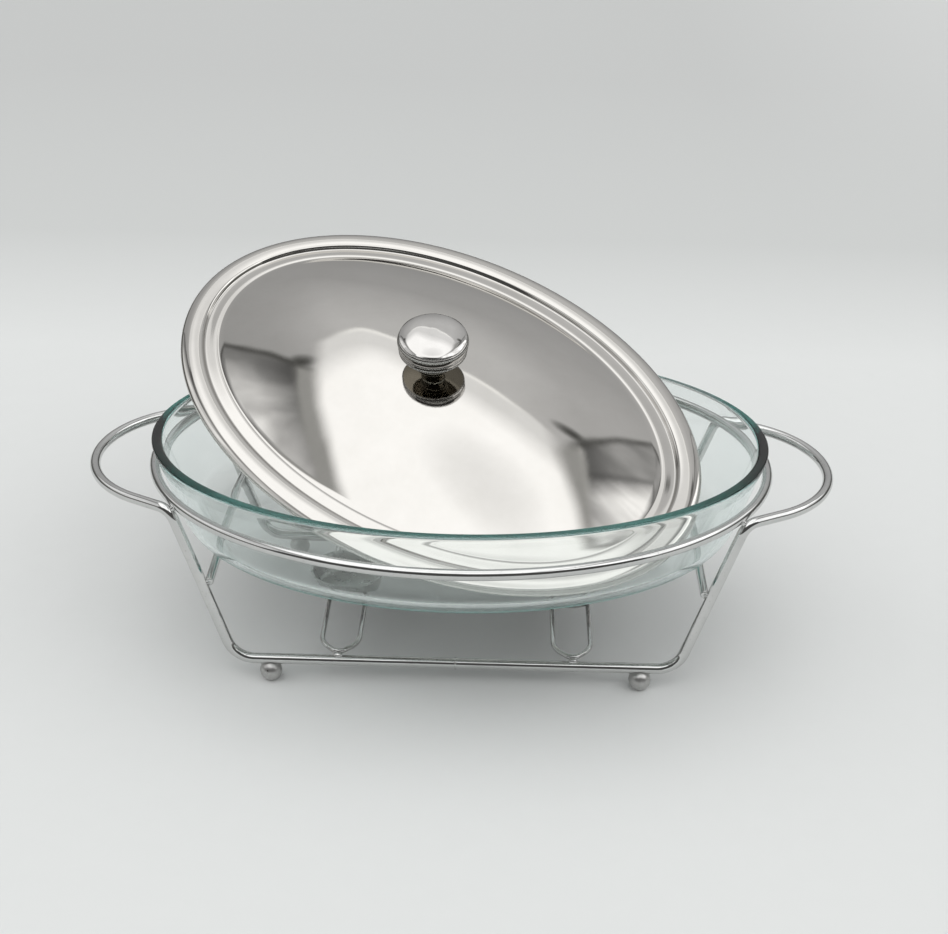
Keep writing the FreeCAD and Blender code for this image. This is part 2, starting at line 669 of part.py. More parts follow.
def lid_fits(lift):
    """True while every lip point over the dish keeps its clearance to glass and floor."""
    clear = size("lid_clear")
    for point in LIP:
        x, y = point.x + size("lid_shift_x"), point.y + size("lid_shift_y")
        height = point.z + lift - DISH_Z
        if height > size("dish_depth") + clear:
            continue
        if height < size("glass_floor") + clear or glass_gap(x, y, height) < clear:
            return False
    return True


LIP = lip_points()
low, high = DISH_Z, DISH_Z + 4 * size("dish_depth")
for _ in range(40):
    middle = (low + high) / 2
    if lid_fits(middle):
        high = middle
    else:
        low = middle
lid_pose = Placement(Vector(size("lid_shift_x"), size("lid_shift_y"), high), lid_turn)
knob_pose = lid_pose.multiply(Placement(Vector(0, 0, size("lid_rise")), Rotation()))
lid_shell.Placement = lid_pose
for name in ("knob_neck", "knob_drum", "knob_cap", "knob_insert", "knob_washer", "knob_screw"):
    nodes[name].Placement = knob_pose

doc.recompute()

for obj in doc.Objects:
    if "Invalid" in obj.State or "Error" in obj.State:
        raise RuntimeError(f"{obj.Label} failed: {obj.State}")
for name, obj in nodes.items():
    if obj.Shape.isNull() or not obj.Shape.isValid():
        raise RuntimeError(f"{name} has no valid shape")

os.makedirs("parts", exist_ok=True)
for name, obj in nodes.items():
    obj.Shape.exportStep(f"parts/{name}.step")
    box = obj.Shape.BoundBox
    print(f"{name}: {len(obj.Shape.Solids)} solid, volume {obj.Shape.Volume:.0f} mm3, "
          f"x {box.XMin:.1f}..{box.XMax:.1f}, y {box.YMin:.1f}..{box.YMax:.1f}, z {box.ZMin:.1f}..{box.ZMax:.1f}")
print(f"{len(nodes)} nodes, rail z {RAIL_Z:.2f}, shoulder x {SHOULDER_X:.2f}, dish base z {DISH_Z:.2f}, "
      f"rim z {RIM_Z:.2f}, lid {lid_pose.Base.z:.2f}")
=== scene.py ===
# %% [markdown]
# # Oval food warmer
# A glass dish sits in a chromed wire rack over two candle cups, and a pressed steel lid leans in
# the dish. Every visible piece here is a surface worked out with numpy: wires are round sections
# carried along bent paths, the dish and the lid are rings of ovals, and the cups and the knob are
# turned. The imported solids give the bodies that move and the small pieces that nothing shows.
# Lengths are in millimetres, as on a drawing, and become Blender's metres in the finished surface.

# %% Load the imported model
import math
import bpy
import numpy as np
from mathutils import Matrix, Vector


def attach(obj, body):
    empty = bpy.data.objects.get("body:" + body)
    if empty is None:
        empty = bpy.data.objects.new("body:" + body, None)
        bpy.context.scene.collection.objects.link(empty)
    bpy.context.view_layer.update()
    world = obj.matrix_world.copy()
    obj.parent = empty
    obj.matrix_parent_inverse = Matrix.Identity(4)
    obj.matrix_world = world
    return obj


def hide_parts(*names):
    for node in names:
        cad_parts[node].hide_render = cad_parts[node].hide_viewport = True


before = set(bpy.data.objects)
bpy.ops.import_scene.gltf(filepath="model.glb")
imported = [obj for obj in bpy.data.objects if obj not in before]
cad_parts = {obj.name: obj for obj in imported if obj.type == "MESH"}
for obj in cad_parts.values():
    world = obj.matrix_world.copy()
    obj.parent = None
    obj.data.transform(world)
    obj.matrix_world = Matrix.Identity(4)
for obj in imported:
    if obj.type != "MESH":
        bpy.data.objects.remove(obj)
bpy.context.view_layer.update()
scene = bpy.context.scene
MM = 0.001
SIDES = ((-1, "left"), (1, "right"))
DEPTHS = ((-1, "front"), (1, "back"))

# %% [markdown]
# ## A surface from a grid
# Each new piece is a closed skin over a grid of points: rows run along the piece, columns run round
# it and meet themselves, and an open end is closed by a fan to one pole. Blender's primitives and
# modifiers could make some of these shapes, but one grid serves wires, ovals and turned pieces
# alike. The enclosed volume tells whether the faces look outwards, and turns them if they don't.
# The skin also gets a UV map, with U round the piece and V along it in real lengths, so that
# polishing marks can follow the metal.

# %% Volume and UV map of a grid
def enclosed(points, quads, fans):
    """Signed volume: the sum over triangles of a · (b × c) / 6, positive if faces look outwards."""
    triangles = np.concatenate([quads[:, [0, 1, 2]], quads[:, [0, 2, 3]], fans])
    a, b, c = (points[triangles[:, k]] for k in range(3))
    return float(np.einsum("ij,ij->i", a, np.cross(b, c)).sum() / 6)


def laid_out(grid, ring):
    """UV corners of the quads: U is the share of the way round, V the mean length along."""
    columns = grid.shape[1]
    step = np.linalg.norm(np.diff(grid, axis=0), axis=2).mean(axis=1)
    along = np.concatenate([[0.0], np.cumsum(step)])
    if ring:
        along = np.append(along, along[-1] + np.linalg.norm(grid[0] - grid[-1], axis=1).mean())
    v_low, v_high = np.repeat(along[:-1], columns), np.repeat(along[1:], columns)
    u_low = np.tile(np.arange(columns) / columns, len(along) - 1)
    u_high = u_low + 1 / columns
    corners = np.stack([u_low, v_low, u_high, v_low, u_high, v_high, u_low, v_high], -1)
    return corners.reshape(-1, 4, 2), along[-1]


tips = np.array([[0, 0, 0], [1, 0, 0], [0, 1, 0], [0, 0, 1]], float)
walls = np.array([[0, 2, 1], [0, 1, 3], [0, 3, 2], [1, 2, 3]])
print("a corner with 1 m edges encloses", round(enclosed(tips, np.empty((0, 4), int), walls), 3), "m³")

# %% Grid to skin
def skin(grid, start_pole=None, end_pole=None, ring=False):
    """Points, faces and UVs of a skin: quads between neighbouring rows and columns, fans at poles."""
    rows, columns = grid.shape[:2]
    points = grid.reshape(-1, 3)
    index = np.arange(rows * columns).reshape(rows, columns)
    lower, upper = (index, np.roll(index, -1, axis=0)) if ring else (index[:-1], index[1:])
    quads = np.stack([lower, np.roll(lower, -1, 1), np.roll(upper, -1, 1), upper], -1).reshape(-1, 4)
    quad_uv, length = laid_out(grid, ring)
    fans, fan_uv, u = [np.empty((0, 3), int)], [np.empty((0, 2))], np.arange(columns) / columns
    for pole, row, level in ((start_pole, index[0], 0.0), (end_pole, index[-1], length)):
        if pole is not None:
            points = np.vstack([points, pole])
            edge = [row, np.roll(row, -1)] if pole is end_pole else [np.roll(row, -1), row]
            fans.append(np.stack([*edge, np.full(columns, len(points) - 1)], -1))
            fan_uv.append(np.repeat(np.stack([u, np.full(columns, level)], -1), 3, axis=0))
    fans = np.concatenate(fans)
    if enclosed(points, quads, fans) < 0:
        quads, fans, quad_uv = quads[:, ::-1], fans[:, ::-1], quad_uv[:, ::-1]
    return points, quads, fans, np.vstack([quad_uv.reshape(-1, 2), *fan_uv])


def capped(grid, pose=None):
    """Skin of a grid in millimetres, turned and moved by a pose, with a pole at each open end."""
    if pose is not None:
        grid = grid @ pose[0].T + pose[1]
    grid = grid * MM
    return skin(grid, start_pole=grid[0].mean(0), end_pole=grid[-1].mean(0))


t = np.linspace(0, 2 * math.pi, 64, endpoint=False)
pipe = np.stack([np.cos(t), np.sin(t), t * 0], -1) + np.array([[[0, 0, 0]], [[0, 0, 1]]])
print("a plug of radius 1 m and height 1 m encloses", round(enclosed(*capped(pipe / MM)[:3]), 3), "m³")

# %% [markdown]
# ## One object per piece
# A real piece becomes one object with its place already in its mesh. It rides on a body, so that
# it moves with the dish, the lid or the rack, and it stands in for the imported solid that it
# replaces. Smooth shading with sharp edges above an angle keeps pressed edges crisp.

# %% Skins to an object
def piece(name, skins, body, replaces=(), sharp=50.0):
    """One object from one or more skins, shaded smooth except over edges sharper than the angle."""
    points, faces, uvs, base = [], [], [], 0
    for found, quads, fans, uv in skins:
        points.append(found)
        faces += (quads + base).tolist() + (fans + base).tolist()
        uvs.append(uv)
        base += len(found)
    mesh = bpy.data.meshes.new(name)
    mesh.from_pydata(np.vstack(points).tolist(), [], faces)
    layer = mesh.uv_layers.new(name="Along")
    layer.data.foreach_set("uv", np.vstack(uvs).ravel())
    mesh.update()
    mesh.shade_smooth()
    mesh.set_sharp_from_angle(angle=math.radians(sharp))
    made = bpy.data.objects.new(name, mesh)
    scene.collection.objects.link(made)
    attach(made, body)
    if replaces:
        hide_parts(*replaces)
    print(f"{name}: {len(faces)} faces, {[round(s / MM, 1) for s in made.dimensions]} mm")
    return made


# %% [markdown]
# ## Bent wire
# The rack is cold-drawn steel wire, bent round pins on a jig, welded and chromed. A Bezier curve
# with a bevel could follow it, but its bends would be only nearly round. Straight runs with a
# tangent arc at each corner give just what a bending jig gives.

# %% Paths
def bent_path(corners, radii, closed=False, station=2.0):
    """Points along straight runs and tangent arcs; an arc is centre + r (cos, sin) between its runs."""
    corners = np.array(corners, float)
    count, runs = len(corners), []
    for i, (here, radius) in enumerate(zip(corners, radii)):
        if radius <= 0:
            runs.append(here[None])
            continue
        back, ahead = corners[i - 1] - here, corners[(i + 1) % count] - here
        back, ahead = back / np.linalg.norm(back), ahead / np.linalg.norm(ahead)
        half = (math.pi - math.acos(np.clip(back @ ahead, -1, 1))) / 2
        middle = (back + ahead) / np.linalg.norm(back + ahead)
        centre = here + middle * radius / math.cos(half)
        across = (ahead - back) / np.linalg.norm(ahead - back)
        swing = np.linspace(-half, half, max(5, int(radius * half * 2 / station * 2)))[:, None]
        runs.append(centre + radius * (across * np.sin(swing) - middle * np.cos(swing)))
    if closed:
        runs.append(runs[0][:1])
    filled = [runs[0]]
    for before, after in zip(runs[:-1], runs[1:]):
        gap = np.linalg.norm(after[0] - before[-1])
        share = np.linspace(0, 1, max(2, int(gap / (station * 3))) + 1)[1:-1, None]
        filled += [before[-1] + (after[0] - before[-1]) * share, after]
    path = np.concatenate(filled)
    return path[:-1] if closed else path


elbow = bent_path([(0, 0, 0), (50, 0, 0), (50, 50, 0)], [0, 10, 0])
print("a right angle bent to 10 mm:", len(elbow), "stations")

# %% [markdown]
# ## A round section along a path
# A round section is carried along the path. At each station one direction is square to the wire
# and to a fixed leaning axis, and the other is square to both, so the section never twists. A cut
# end is rounded a little, as chroming leaves it.

# %% Round sections
END_STEPS = 4


def round_section(path, radius, lean=(0, 1, -1), closed=False, sides=28, ends=0.5):
    """Tube: centre + r (side cos t + top sin t), with rounded ends unless the path is closed."""
    path = np.asarray(path, float)
    tangent = np.roll(path, -1, 0) - np.roll(path, 1, 0) if closed else np.gradient(path, axis=0)
    tangent /= np.linalg.norm(tangent, axis=1, keepdims=True)
    side = np.cross(tangent, lean)
    side /= np.linalg.norm(side, axis=1, keepdims=True)
    top = np.cross(side, tangent)
    reach = np.full(len(path), float(radius))
    if not closed:
        turn = np.linspace(0, math.pi / 2, END_STEPS + 1)[:-1]
        inset, slim = (ends * (1 - np.sin(turn)))[:, None], radius - ends + ends * np.cos(turn)
        first, last = path[0] + tangent[0] * inset, path[-1] - tangent[-1] * inset
        path = np.concatenate([first[::-1], path[1:-1], last])
        reach = np.concatenate([slim[::-1], reach[1:-1], slim])
        copies = np.ones(len(side), int)
        copies[[0, -1]] = END_STEPS
        side, top = np.repeat(side, copies, axis=0), np.repeat(top, copies, axis=0)
    t = np.linspace(0, 2 * math.pi, sides, endpoint=False)[None, :, None]
    grid = path[:, None] + reach[:, None, None] * (side[:, None] * np.cos(t) + top[:, None] * np.sin(t))
    return skin(grid * MM, ring=True) if closed else capped(grid)


rod = round_section(elbow, 3.0)
print("the same elbow in 6 mm wire:", len(rod[0]), "points,", round(enclosed(*rod[:3]) / MM ** 3), "mm³")

# %% [markdown]
# ## The hoop
# One wire bent to an oval lies round the dish below its rim and keeps it from sliding. Its two
# ends are butt welded, so it is closed. A scaled torus would thicken the wire at the ends of the
# oval, so the round section follows the oval's own line, (A cos t, B sin t).

# %% Hoop
WIRE = 3.0
HOOP_A, HOOP_B, HOOP_Z = 174.5, 128.5, 108.5
t = np.linspace(0, 2 * math.pi, 360, endpoint=False)
hoop_path = np.stack([HOOP_A * np.cos(t), HOOP_B * np.sin(t), np.full_like(t, HOOP_Z)], -1)
piece("hoop_wire", [round_section(hoop_path, WIRE, lean=(0, 0, 1), closed=True)],
      "rack", ["hoop"])

# %% [markdown]
# ## The frame wires
# Each side is a single wire: half the front rail, a leg leaning outwards, the handle, the back
# leg and half the back rail. The two meet in butt welds in the middle of the rails, and touch the
# hoop from outside. A wire bent in two planes is still runs and arcs, so the same path serves.

# %% Frame wires
RAIL_Z, RAIL_Y, RAIL_X = 13.37, 68.2, 124.6
SHOULDER_X, SHOULDER_Y, HANDLE_Z = 156.0, 64.5, 106.0
HANDLE_TIP, HANDLE_BEND, RAIL_BEND, SHOULDER_BEND = 209.5, 60.0, 16.0, 9.0
BUTT_GAP = 0.03


def frame_corners(side):
    """Corners of one wire; the handle's two runs meet where their line touches the tip's circle."""
    centre = HANDLE_TIP - HANDLE_BEND
    away = math.hypot(centre - SHOULDER_X, SHOULDER_Y)
    slope = math.atan2(SHOULDER_Y, centre - SHOULDER_X) - math.asin(HANDLE_BEND / away)
    meet = SHOULDER_X + SHOULDER_Y / math.tan(slope)
    half = [(BUTT_GAP, -RAIL_Y, RAIL_Z), (RAIL_X, -RAIL_Y, RAIL_Z), (SHOULDER_X, -SHOULDER_Y, HANDLE_Z)]
    other = [(x, -y, z) for x, y, z in reversed(half)]
    return [(side * x, y, z) for x, y, z in half + [(meet, 0, HANDLE_Z)] + other]


BENDS = [0, RAIL_BEND, SHOULDER_BEND, HANDLE_BEND, SHOULDER_BEND, RAIL_BEND, 0]
for side, word in SIDES:
    piece(f"frame_wire_{word}_bent", [round_section(bent_path(frame_corners(side), BENDS), WIRE)],
          "rack", [f"frame_wire_{word}"])

# %% [markdown]
# ## Crossbars under the dish
# A thinner wire joins the front and back leg on each side, and the dish stands on both. Each end
# lies against the inner side of its leg and is sunk into it a little by the weld. A plain cylinder
# would end in sharp edges, so the round section with its rounded ends is used here too.

# %% Crossbars
BAR, BAR_X, BAR_Z = 2.5, 136.9, 61.5
BAR_HALF, BAR_STATIONS = 66.2, 24
for side, word in SIDES:
    y = np.linspace(-BAR_HALF, BAR_HALF, BAR_STATIONS)
    path = np.stack([np.full_like(y, side * BAR_X), y, np.full_like(y, BAR_Z)], -1)
    piece(f"crossbar_{word}_wire", [round_section(path, BAR, lean=(0, 0, 1), ends=0.8)],
          "rack", [f"crossbar_{word}"])

# %% [markdown]
# ## Candle loops
# Thin wire bent to a long ring lies across both rails, with its ends drawn to a shallow point.
# The candle cup stands on its two straight arms. It is the closed form of the same bent path, with
# wide bends at the arms and a tight one at each point.

# %% Candle loops
LOOP, LOOP_X, LOOP_HALF = 1.5, 66.0, 10.65
LOOP_END, LOOP_ARM, ARM_BEND, POINT_BEND = 67.6, 57.4, 15, 5
TOUCH = 0.05
LOOP_Z = RAIL_Z + WIRE + LOOP + TOUCH
LOOP_OUTLINE = [(LOOP_HALF, 0), (LOOP_HALF, LOOP_ARM), (0, LOOP_END), (-LOOP_HALF, LOOP_ARM),
                (-LOOP_HALF, -LOOP_ARM), (0, -LOOP_END), (LOOP_HALF, -LOOP_ARM)]
LOOP_BENDS = [0, ARM_BEND, POINT_BEND, ARM_BEND, ARM_BEND, POINT_BEND, ARM_BEND]
for side, word in SIDES:
    corners = [(side * (LOOP_X + x), y, LOOP_Z) for x, y in LOOP_OUTLINE]
    path = bent_path(corners, LOOP_BENDS, closed=True, station=1.0)
    piece(f"candle_loop_{word}_wire", [round_section(path, LOOP, lean=(0, 0, 1), closed=True, sides=18)],
          "rack", [f"candle_loop_{word}"])

# %% [markdown]
# ## Turned and pressed round pieces
# Feet, cups and knob are round about an upright axis. A Screw modifier could turn their profiles,
# but here a profile of (radius, height) is turned by whole arrays, so the same skin closes it. A
# smooth profile runs through its key points as a Catmull-Rom curve, which passes through every
# point with a tangent along its two neighbours.

# %% Profiles
def smooth(points, steps=8):
    """Catmull-Rom curve: each span blends its ends and the chords of their neighbours by cubics."""
    p = np.array(points, float)
    p = np.vstack([2 * p[0] - p[1], p, 2 * p[-1] - p[-2]])
    u = np.linspace(0, 1, steps, endpoint=False)[None, :, None]
    a, b, c, d = (p[k:len(p) - 3 + k][:, None] for k in range(4))
    curve = 0.5 * (2 * b + (c - a) * u + (2 * a - 5 * b + 4 * c - d) * u ** 2
                   + (3 * b - a - 3 * c + d) * u ** 3)
    return np.vstack([curve.reshape(-1, 2), p[-2]])


def joined(*parts):
    return np.vstack([np.array(part, float).reshape(-1, 2) for part in parts])


def turned(profile, centre, sides=96, pose=None):
    """Skin of a profile turned about Z: (r cos t, r sin t, z), closed by poles on the axis."""
    profile = np.array(profile, float)
    t = np.linspace(0, 2 * math.pi, sides, endpoint=False)
    radius, height = profile[:, :1], profile[:, 1:]
    grid = np.stack([radius * np.cos(t), radius * np.sin(t), np.repeat(height, sides, 1)], -1)
    return capped(grid + np.array(centre), pose)


print("a curve through 3 points:", len(smooth([(0, 0), (1, 1), (2, 0)])), "points")

# %% [markdown]
# ## Ball feet
# A steel ball is welded under each rail near the leg, with a small flat ground where it stands. A
# UV sphere would need a cut for the flat. Turning an arc that starts at the flat leaves it out.

# %% Feet
BALL, FLAT, FOOT_X = 6.3, 2.0, 104.3
FOOT_Z = math.sqrt(BALL ** 2 - FLAT ** 2)
swing = np.linspace(-math.acos(FLAT / BALL), math.radians(86), 36)
ball_profile = np.stack([BALL * np.cos(swing), BALL * np.sin(swing)], -1)
for depth, where in DEPTHS:
    for side, word in SIDES:
        centre = (side * FOOT_X, depth * RAIL_Y, FOOT_Z)
        piece(f"foot_{where}_{word}_ball", [turned(ball_profile, centre, 48)],
              "rack", [f"foot_{where}_{word}"])

# %% [markdown]
# ## Candle cups
# Thin steel pressed to a shallow cup with a flat base, a round corner, a flared wall and a lip
# turned outwards and down. A Solidify modifier would give the wall but not the rolled lip, so the
# profile goes up the outside, round the lip and down the inside.

# %% Cups
CUP_Z = LOOP_Z + LOOP + TOUCH
cup_outside = smooth([(0.01, 0), (10, 0), (16, 0), (17.7, 0.5), (18.7, 1.6), (19.3, 3.4),
                      (20.0, 6.5), (20.6, 9.6), (20.9, 10.8)], 6)
cup_lip = smooth([(20.9, 10.8), (21.6, 11.0), (22.0, 11.5), (21.5, 12.0), (20.6, 11.7), (20.1, 10.8)], 6)
cup_inside = smooth([(20.1, 10.8), (19.8, 9.6), (19.2, 6.5), (18.5, 3.5), (17.9, 2.0), (16.9, 1.1),
                     (15.6, 0.8), (10, 0.8), (0.01, 0.8)], 6)
cup_profile = joined(cup_outside[:-1], cup_lip[:-1], cup_inside)
for side, word in SIDES:
    piece(f"candle_cup_{word}_pressed", [turned(cup_profile, (side * LOOP_X, 0, CUP_Z))],
          "rack", [f"candle_cup_{word}"])

# %% [markdown]
# ## Welds
# Where wires cross they are resistance welded, and a little metal is pushed out as a bead. A
# boolean union with rounded edges would be costly and fragile. Each bead is instead a squashed
# ball with a few shallow lumps, sunk into both wires. All of them are one piece, because chrome
# covers wires and beads alike.

# %% One bead
def bead(centre, size, along=(1, 0, 0), up=(0, 0, 1), seed=0):
    """Lumpy ball: half sizes times (cos e cos a, cos e sin a, sin e), swelled by a few low waves."""
    a, e = np.meshgrid(np.linspace(0, 2 * math.pi, 32, endpoint=False), np.linspace(-1.45, 1.45, 15))
    lump = 1 + 0.06 * np.sin(3 * a + seed) * np.cos(e) + 0.05 * np.sin(4 * e + 2 * seed)
    local = np.stack([np.cos(e) * np.cos(a), np.cos(e) * np.sin(a), np.sin(e)], -1) * lump[..., None]
    x = np.array(along, float) / np.linalg.norm(along)
    y = np.cross(up, x)
    y /= np.linalg.norm(y)
    return capped((local * np.array(size)) @ np.stack([x, y, np.cross(x, y)]) + np.array(centre))


def leg_point(side, depth, z):
    """Point on a leg's middle line at a height: the run from rail corner to shoulder."""
    climb = (z - RAIL_Z) / (HANDLE_Z - RAIL_Z)
    return np.array([side * (RAIL_X + climb * (SHOULDER_X - RAIL_X)),
                     depth * (RAIL_Y + climb * (SHOULDER_Y - RAIL_Y)), z])


print("the front right leg at the crossbar's height:", leg_point(1, -1, BAR_Z).round(1), "mm")

# %% All beads
BUTT_BEAD, BAR_BEAD, LOOP_BEAD = (1.1, 3.35, 3.35), (3.1, 1.7, 1.6), (2.6, 1.9, 1.3)
FOOT_BEAD, HOOP_BEAD = (2.9, 2.7, 0.9), (2.6, 1.6, 1.7)
BAR_WELD_Y, LOOP_WELD_DROP, HOOP_WELD_DROP = 65.6, 1.1, 1.0
beads = []
for depth, _ in DEPTHS:
    beads.append(bead((0, depth * RAIL_Y, RAIL_Z), BUTT_BEAD, seed=depth))
    for side, _ in SIDES:
        leg = leg_point(side, depth, BAR_Z)
        bar_end = np.array([side * BAR_X, depth * BAR_WELD_Y, BAR_Z])
        beads.append(bead((leg + bar_end) / 2, BAR_BEAD, along=leg - bar_end, seed=side + depth))
        on_rail = (side * LOOP_X, depth * LOOP_END, LOOP_Z - LOOP_WELD_DROP)
        beads.append(bead(on_rail, LOOP_BEAD, seed=2 * side))
        beads.append(bead((side * FOOT_X, depth * RAIL_Y, RAIL_Z - WIRE), FOOT_BEAD, seed=side))
        top = leg_point(side, depth, HANDLE_Z - HOOP_WELD_DROP)
        near = math.atan2(top[1] / HOOP_B, top[0] / HOOP_A)
        touch = np.array([HOOP_A * math.cos(near), HOOP_B * math.sin(near), HOOP_Z])
        beads.append(bead((top + touch) / 2, HOOP_BEAD, along=top - touch, seed=side - depth))
piece("weld_beads", beads, "rack")

# %% [markdown]
# ## The glass dish
# A pressed glass bowl: flat base, round lower corner, tapered wall and a fire-polished rim. A
# scaled cylinder could not keep the wall even all round, so each ring is an oval whose half length
# and half width are the wall's at that height, less an inset. The rings run over the outside, the
# rim and the inside, so the glass is one closed body with a real thickness, which bends the light.

# %% Rings of ovals
DISH_Z, DISH_H, DISH_SHIFT = 64.3, 60.5, -0.8
DISH_TOP, DISH_BASE = np.array([175.4, 120.3]), np.array([156.0, 106.0])
WALL, FLOOR, CORNER, RIM = 6.0, 6.0, 16.0, 2.0
INNER = CORNER - WALL


def oval_rings(rings, centre, columns=288, pose=None):
    """Skin over rings of (half length, half width, height), closed by poles at both ends."""
    rings = np.array(rings, float)
    t = np.linspace(0, 2 * math.pi, columns, endpoint=False)
    grid = np.stack([rings[:, :1] * np.cos(t), rings[:, 1:2] * np.sin(t),
                     np.repeat(rings[:, 2:], columns, 1)], -1)
    return capped(grid + np.array(centre), pose)


def dish_ring(height, inset, share=1.0):
    """Oval at a height: the straight wall's half sizes there, less the inset, times a share."""
    wall = DISH_BASE + (DISH_TOP - DISH_BASE) * height / DISH_H
    return (*((wall - inset) * share), height)


print("the dish at half height:", [round(float(v), 1) for v in dish_ring(DISH_H / 2, 0)], "mm")

# %% Dish
TIP, CORNER_RINGS, WALL_RINGS, RIM_RINGS = 0.02, 14, 16, 8


def dish_rings():
    """Quarter turns join the runs: base, corner, wall and rim outside, then the same inside."""
    corner = np.linspace(0, math.pi / 2, CORNER_RINGS)[1:]
    lip = np.linspace(0, math.pi / 2, RIM_RINGS)
    rings = [dish_ring(0, CORNER, share) for share in np.linspace(TIP, 1, CORNER_RINGS)]
    rings += [dish_ring(CORNER * (1 - math.cos(a)), CORNER * (1 - math.sin(a))) for a in corner]
    rings += [dish_ring(h, 0) for h in np.linspace(CORNER, DISH_H - RIM, WALL_RINGS)[1:]]
    rings += [dish_ring(DISH_H - RIM * (1 - math.sin(a)), RIM * (1 - math.cos(a))) for a in lip[1:]]
    rings += [dish_ring(DISH_H - RIM * (1 - math.cos(a)), WALL - RIM * (1 - math.sin(a))) for a in lip]
    rings += [dish_ring(h, WALL) for h in np.linspace(DISH_H - RIM, FLOOR + INNER, WALL_RINGS)[1:]]
    rings += [dish_ring(FLOOR + INNER * (1 - math.sin(a)), WALL + INNER * (1 - math.cos(a)))
              for a in corner]
    rings += [dish_ring(FLOOR, WALL + INNER, s) for s in np.linspace(1, TIP, CORNER_RINGS)[1:]]
    return rings


piece("glass_bowl", [oval_rings(dish_rings(), (DISH_SHIFT, 0, DISH_Z))],
      "dish", ["glass_dish"], sharp=180)

# %% [markdown]
# ## The lid
# Pressed from one steel sheet: the edge is folded under as a hem, then come a rolled bead, a
# hollow band, a narrow ridge and the dome. Polished steel shows every flat facet, so the section
# is a smooth curve and not a few bevels. All of it keeps an even width round the oval, so a ring
# is the lid's oval less an inset. The dome's rings shrink to the crown, and its height falls with
# the square of the distance from the middle.

# %% Section of the brim
LID_A, LID_B, LID_RISE, SHEET = 176.1, 121.5, 27.0, 0.8
HEM_INSET = 2.4
brim = smooth([(0.5, 0.1), (0.12, 0.3), (0.0, 0.7), (0.2, 1.35), (0.7, 2.05), (1.6, 2.8), (3.0, 3.5),
               (4.6, 3.96), (6.4, 4.22), (8.0, 4.3), (9.8, 4.25), (11.6, 4.05), (12.9, 3.7),
               (13.7, 3.1), (14.2, 2.3), (14.7, 1.65), (15.3, 1.36), (16.2, 1.38), (17.6, 1.54),
               (19.2, 1.77), (20.6, 1.97), (21.5, 2.04), (22.3, 1.98), (23.0, 1.88), (23.5, 1.9)], 5)
hem = [(2.2, 1.0), (2.1, 0.3), (1.8, 0.05), (1.2, 0.0), (0.5, 0.1)]
under = np.vstack([brim[brim[:, 0] > HEM_INSET][::-1] - [0, SHEET], hem])
print(f"brim: {len(brim)} rings, {brim[:, 1].max():.2f} mm high at {brim[brim[:, 1].argmax(), 0]:.1f} mm")

# %% [markdown]
# ## The lid's pose
# The lid lies in the dish with its front edge inside the glass and its back edge high. It leans
# about a level axis and is turned on itself. Its own axes are turned and moved into the mesh, and
# the knob uses the same pose.

# %% Lid
LID_TILT, LID_HEADING, LID_TURN = (math.radians(v) for v in (19.55, -87.0, -39.5))
LID_PLACE = np.array([-18.6, 45.5, 125.51])
lean_axis = Vector((-math.sin(LID_HEADING), math.cos(LID_HEADING), 0))
lid_rotation = np.array(Matrix.Rotation(LID_TILT, 3, lean_axis) @ Matrix.Rotation(LID_TURN, 3, "Z"))
LID_POSE = (lid_rotation, LID_PLACE)
DOME_INSET, DOME_FOOT, LID_COLUMNS = 24.1, 2.02, 304


def brim_rings(section):
    return [(LID_A - inset, LID_B - inset, z) for inset, z in section]


def dome_rings(low, high):
    """Rings from the dome's foot to the crown: height = low + (high - low)(1 - s²)."""
    shares = np.concatenate([np.linspace(1, 0.1, 40), [0.06, 0.03]])
    return [(s * (LID_A - DOME_INSET), s * (LID_B - DOME_INSET), low + (high - low) * (1 - s * s))
            for s in shares]


lid_inside = dome_rings(DOME_FOOT - SHEET, LID_RISE - SHEET)[::-1] + brim_rings(under)
lid_outside = brim_rings(brim) + dome_rings(DOME_FOOT, LID_RISE)
lid_skin = oval_rings(lid_inside + lid_outside, (0, 0, 0), LID_COLUMNS, LID_POSE)
piece("lid_pressed", [lid_skin], "lid", ["lid_shell"], sharp=180)

# %% [markdown]
# ## The knob
# A pressed cap is crimped over a pressed drum, which stands on a dark turned neck. The cap's edge
# and two fine beads round the drum's foot catch the light as bright lines, so they are in the
# profiles and not in a bump map. All three are turned about the lid's own axis, from the crown up.

# %% Knob
KNOB = (0, 0, LID_RISE)
cap = joined([(0.05, 20.6), (18.9, 20.6)],
             smooth([(19.3, 20.9), (19.65, 21.1), (19.7, 21.45), (19.4, 21.8)], 5)[:-1],
             smooth([(19.4, 21.8), (18.0, 22.7), (16.0, 23.4), (12.5, 24.25), (8.5, 24.85), (4.0, 25.15),
                     (0.05, 25.2)], 7))
drum = joined([(7.2, 10.9)], smooth([(18.8, 10.9), (19.5, 11.0), (19.85, 11.4), (19.6, 11.9)], 5),
              smooth([(19.5, 12.4), (19.7, 13.6)], 3),
              smooth([(19.75, 13.9), (20.2, 14.2), (20.2, 14.8), (19.95, 15.1)], 5),
              smooth([(20.1, 15.4), (20.5, 16.6), (20.7, 18.2), (20.5, 19.4), (19.9, 20.4),
                      (19.0, 20.9)], 6),
              [(7.2, 20.9)])
neck = joined([(5.0, 0.0)], smooth([(9.6, 0.0), (10.0, 0.5), (9.6, 1.2), (8.0, 2.0), (7.2, 3.4), (7.0, 6.0),
                                    (7.1, 9.6), (7.6, 10.8)], 6), [(5.0, 10.8)])
KNOB_PIECES = (("knob_cap", "pressed", cap, 128), ("knob_drum", "pressed", drum, 128),
               ("knob_neck", "turned", neck, 96))
for name, made_by, profile, sides in KNOB_PIECES:
    piece(f"{name}_{made_by}", [turned(profile, KNOB, sides, LID_POSE)],
          "lid", [name], sharp=60)

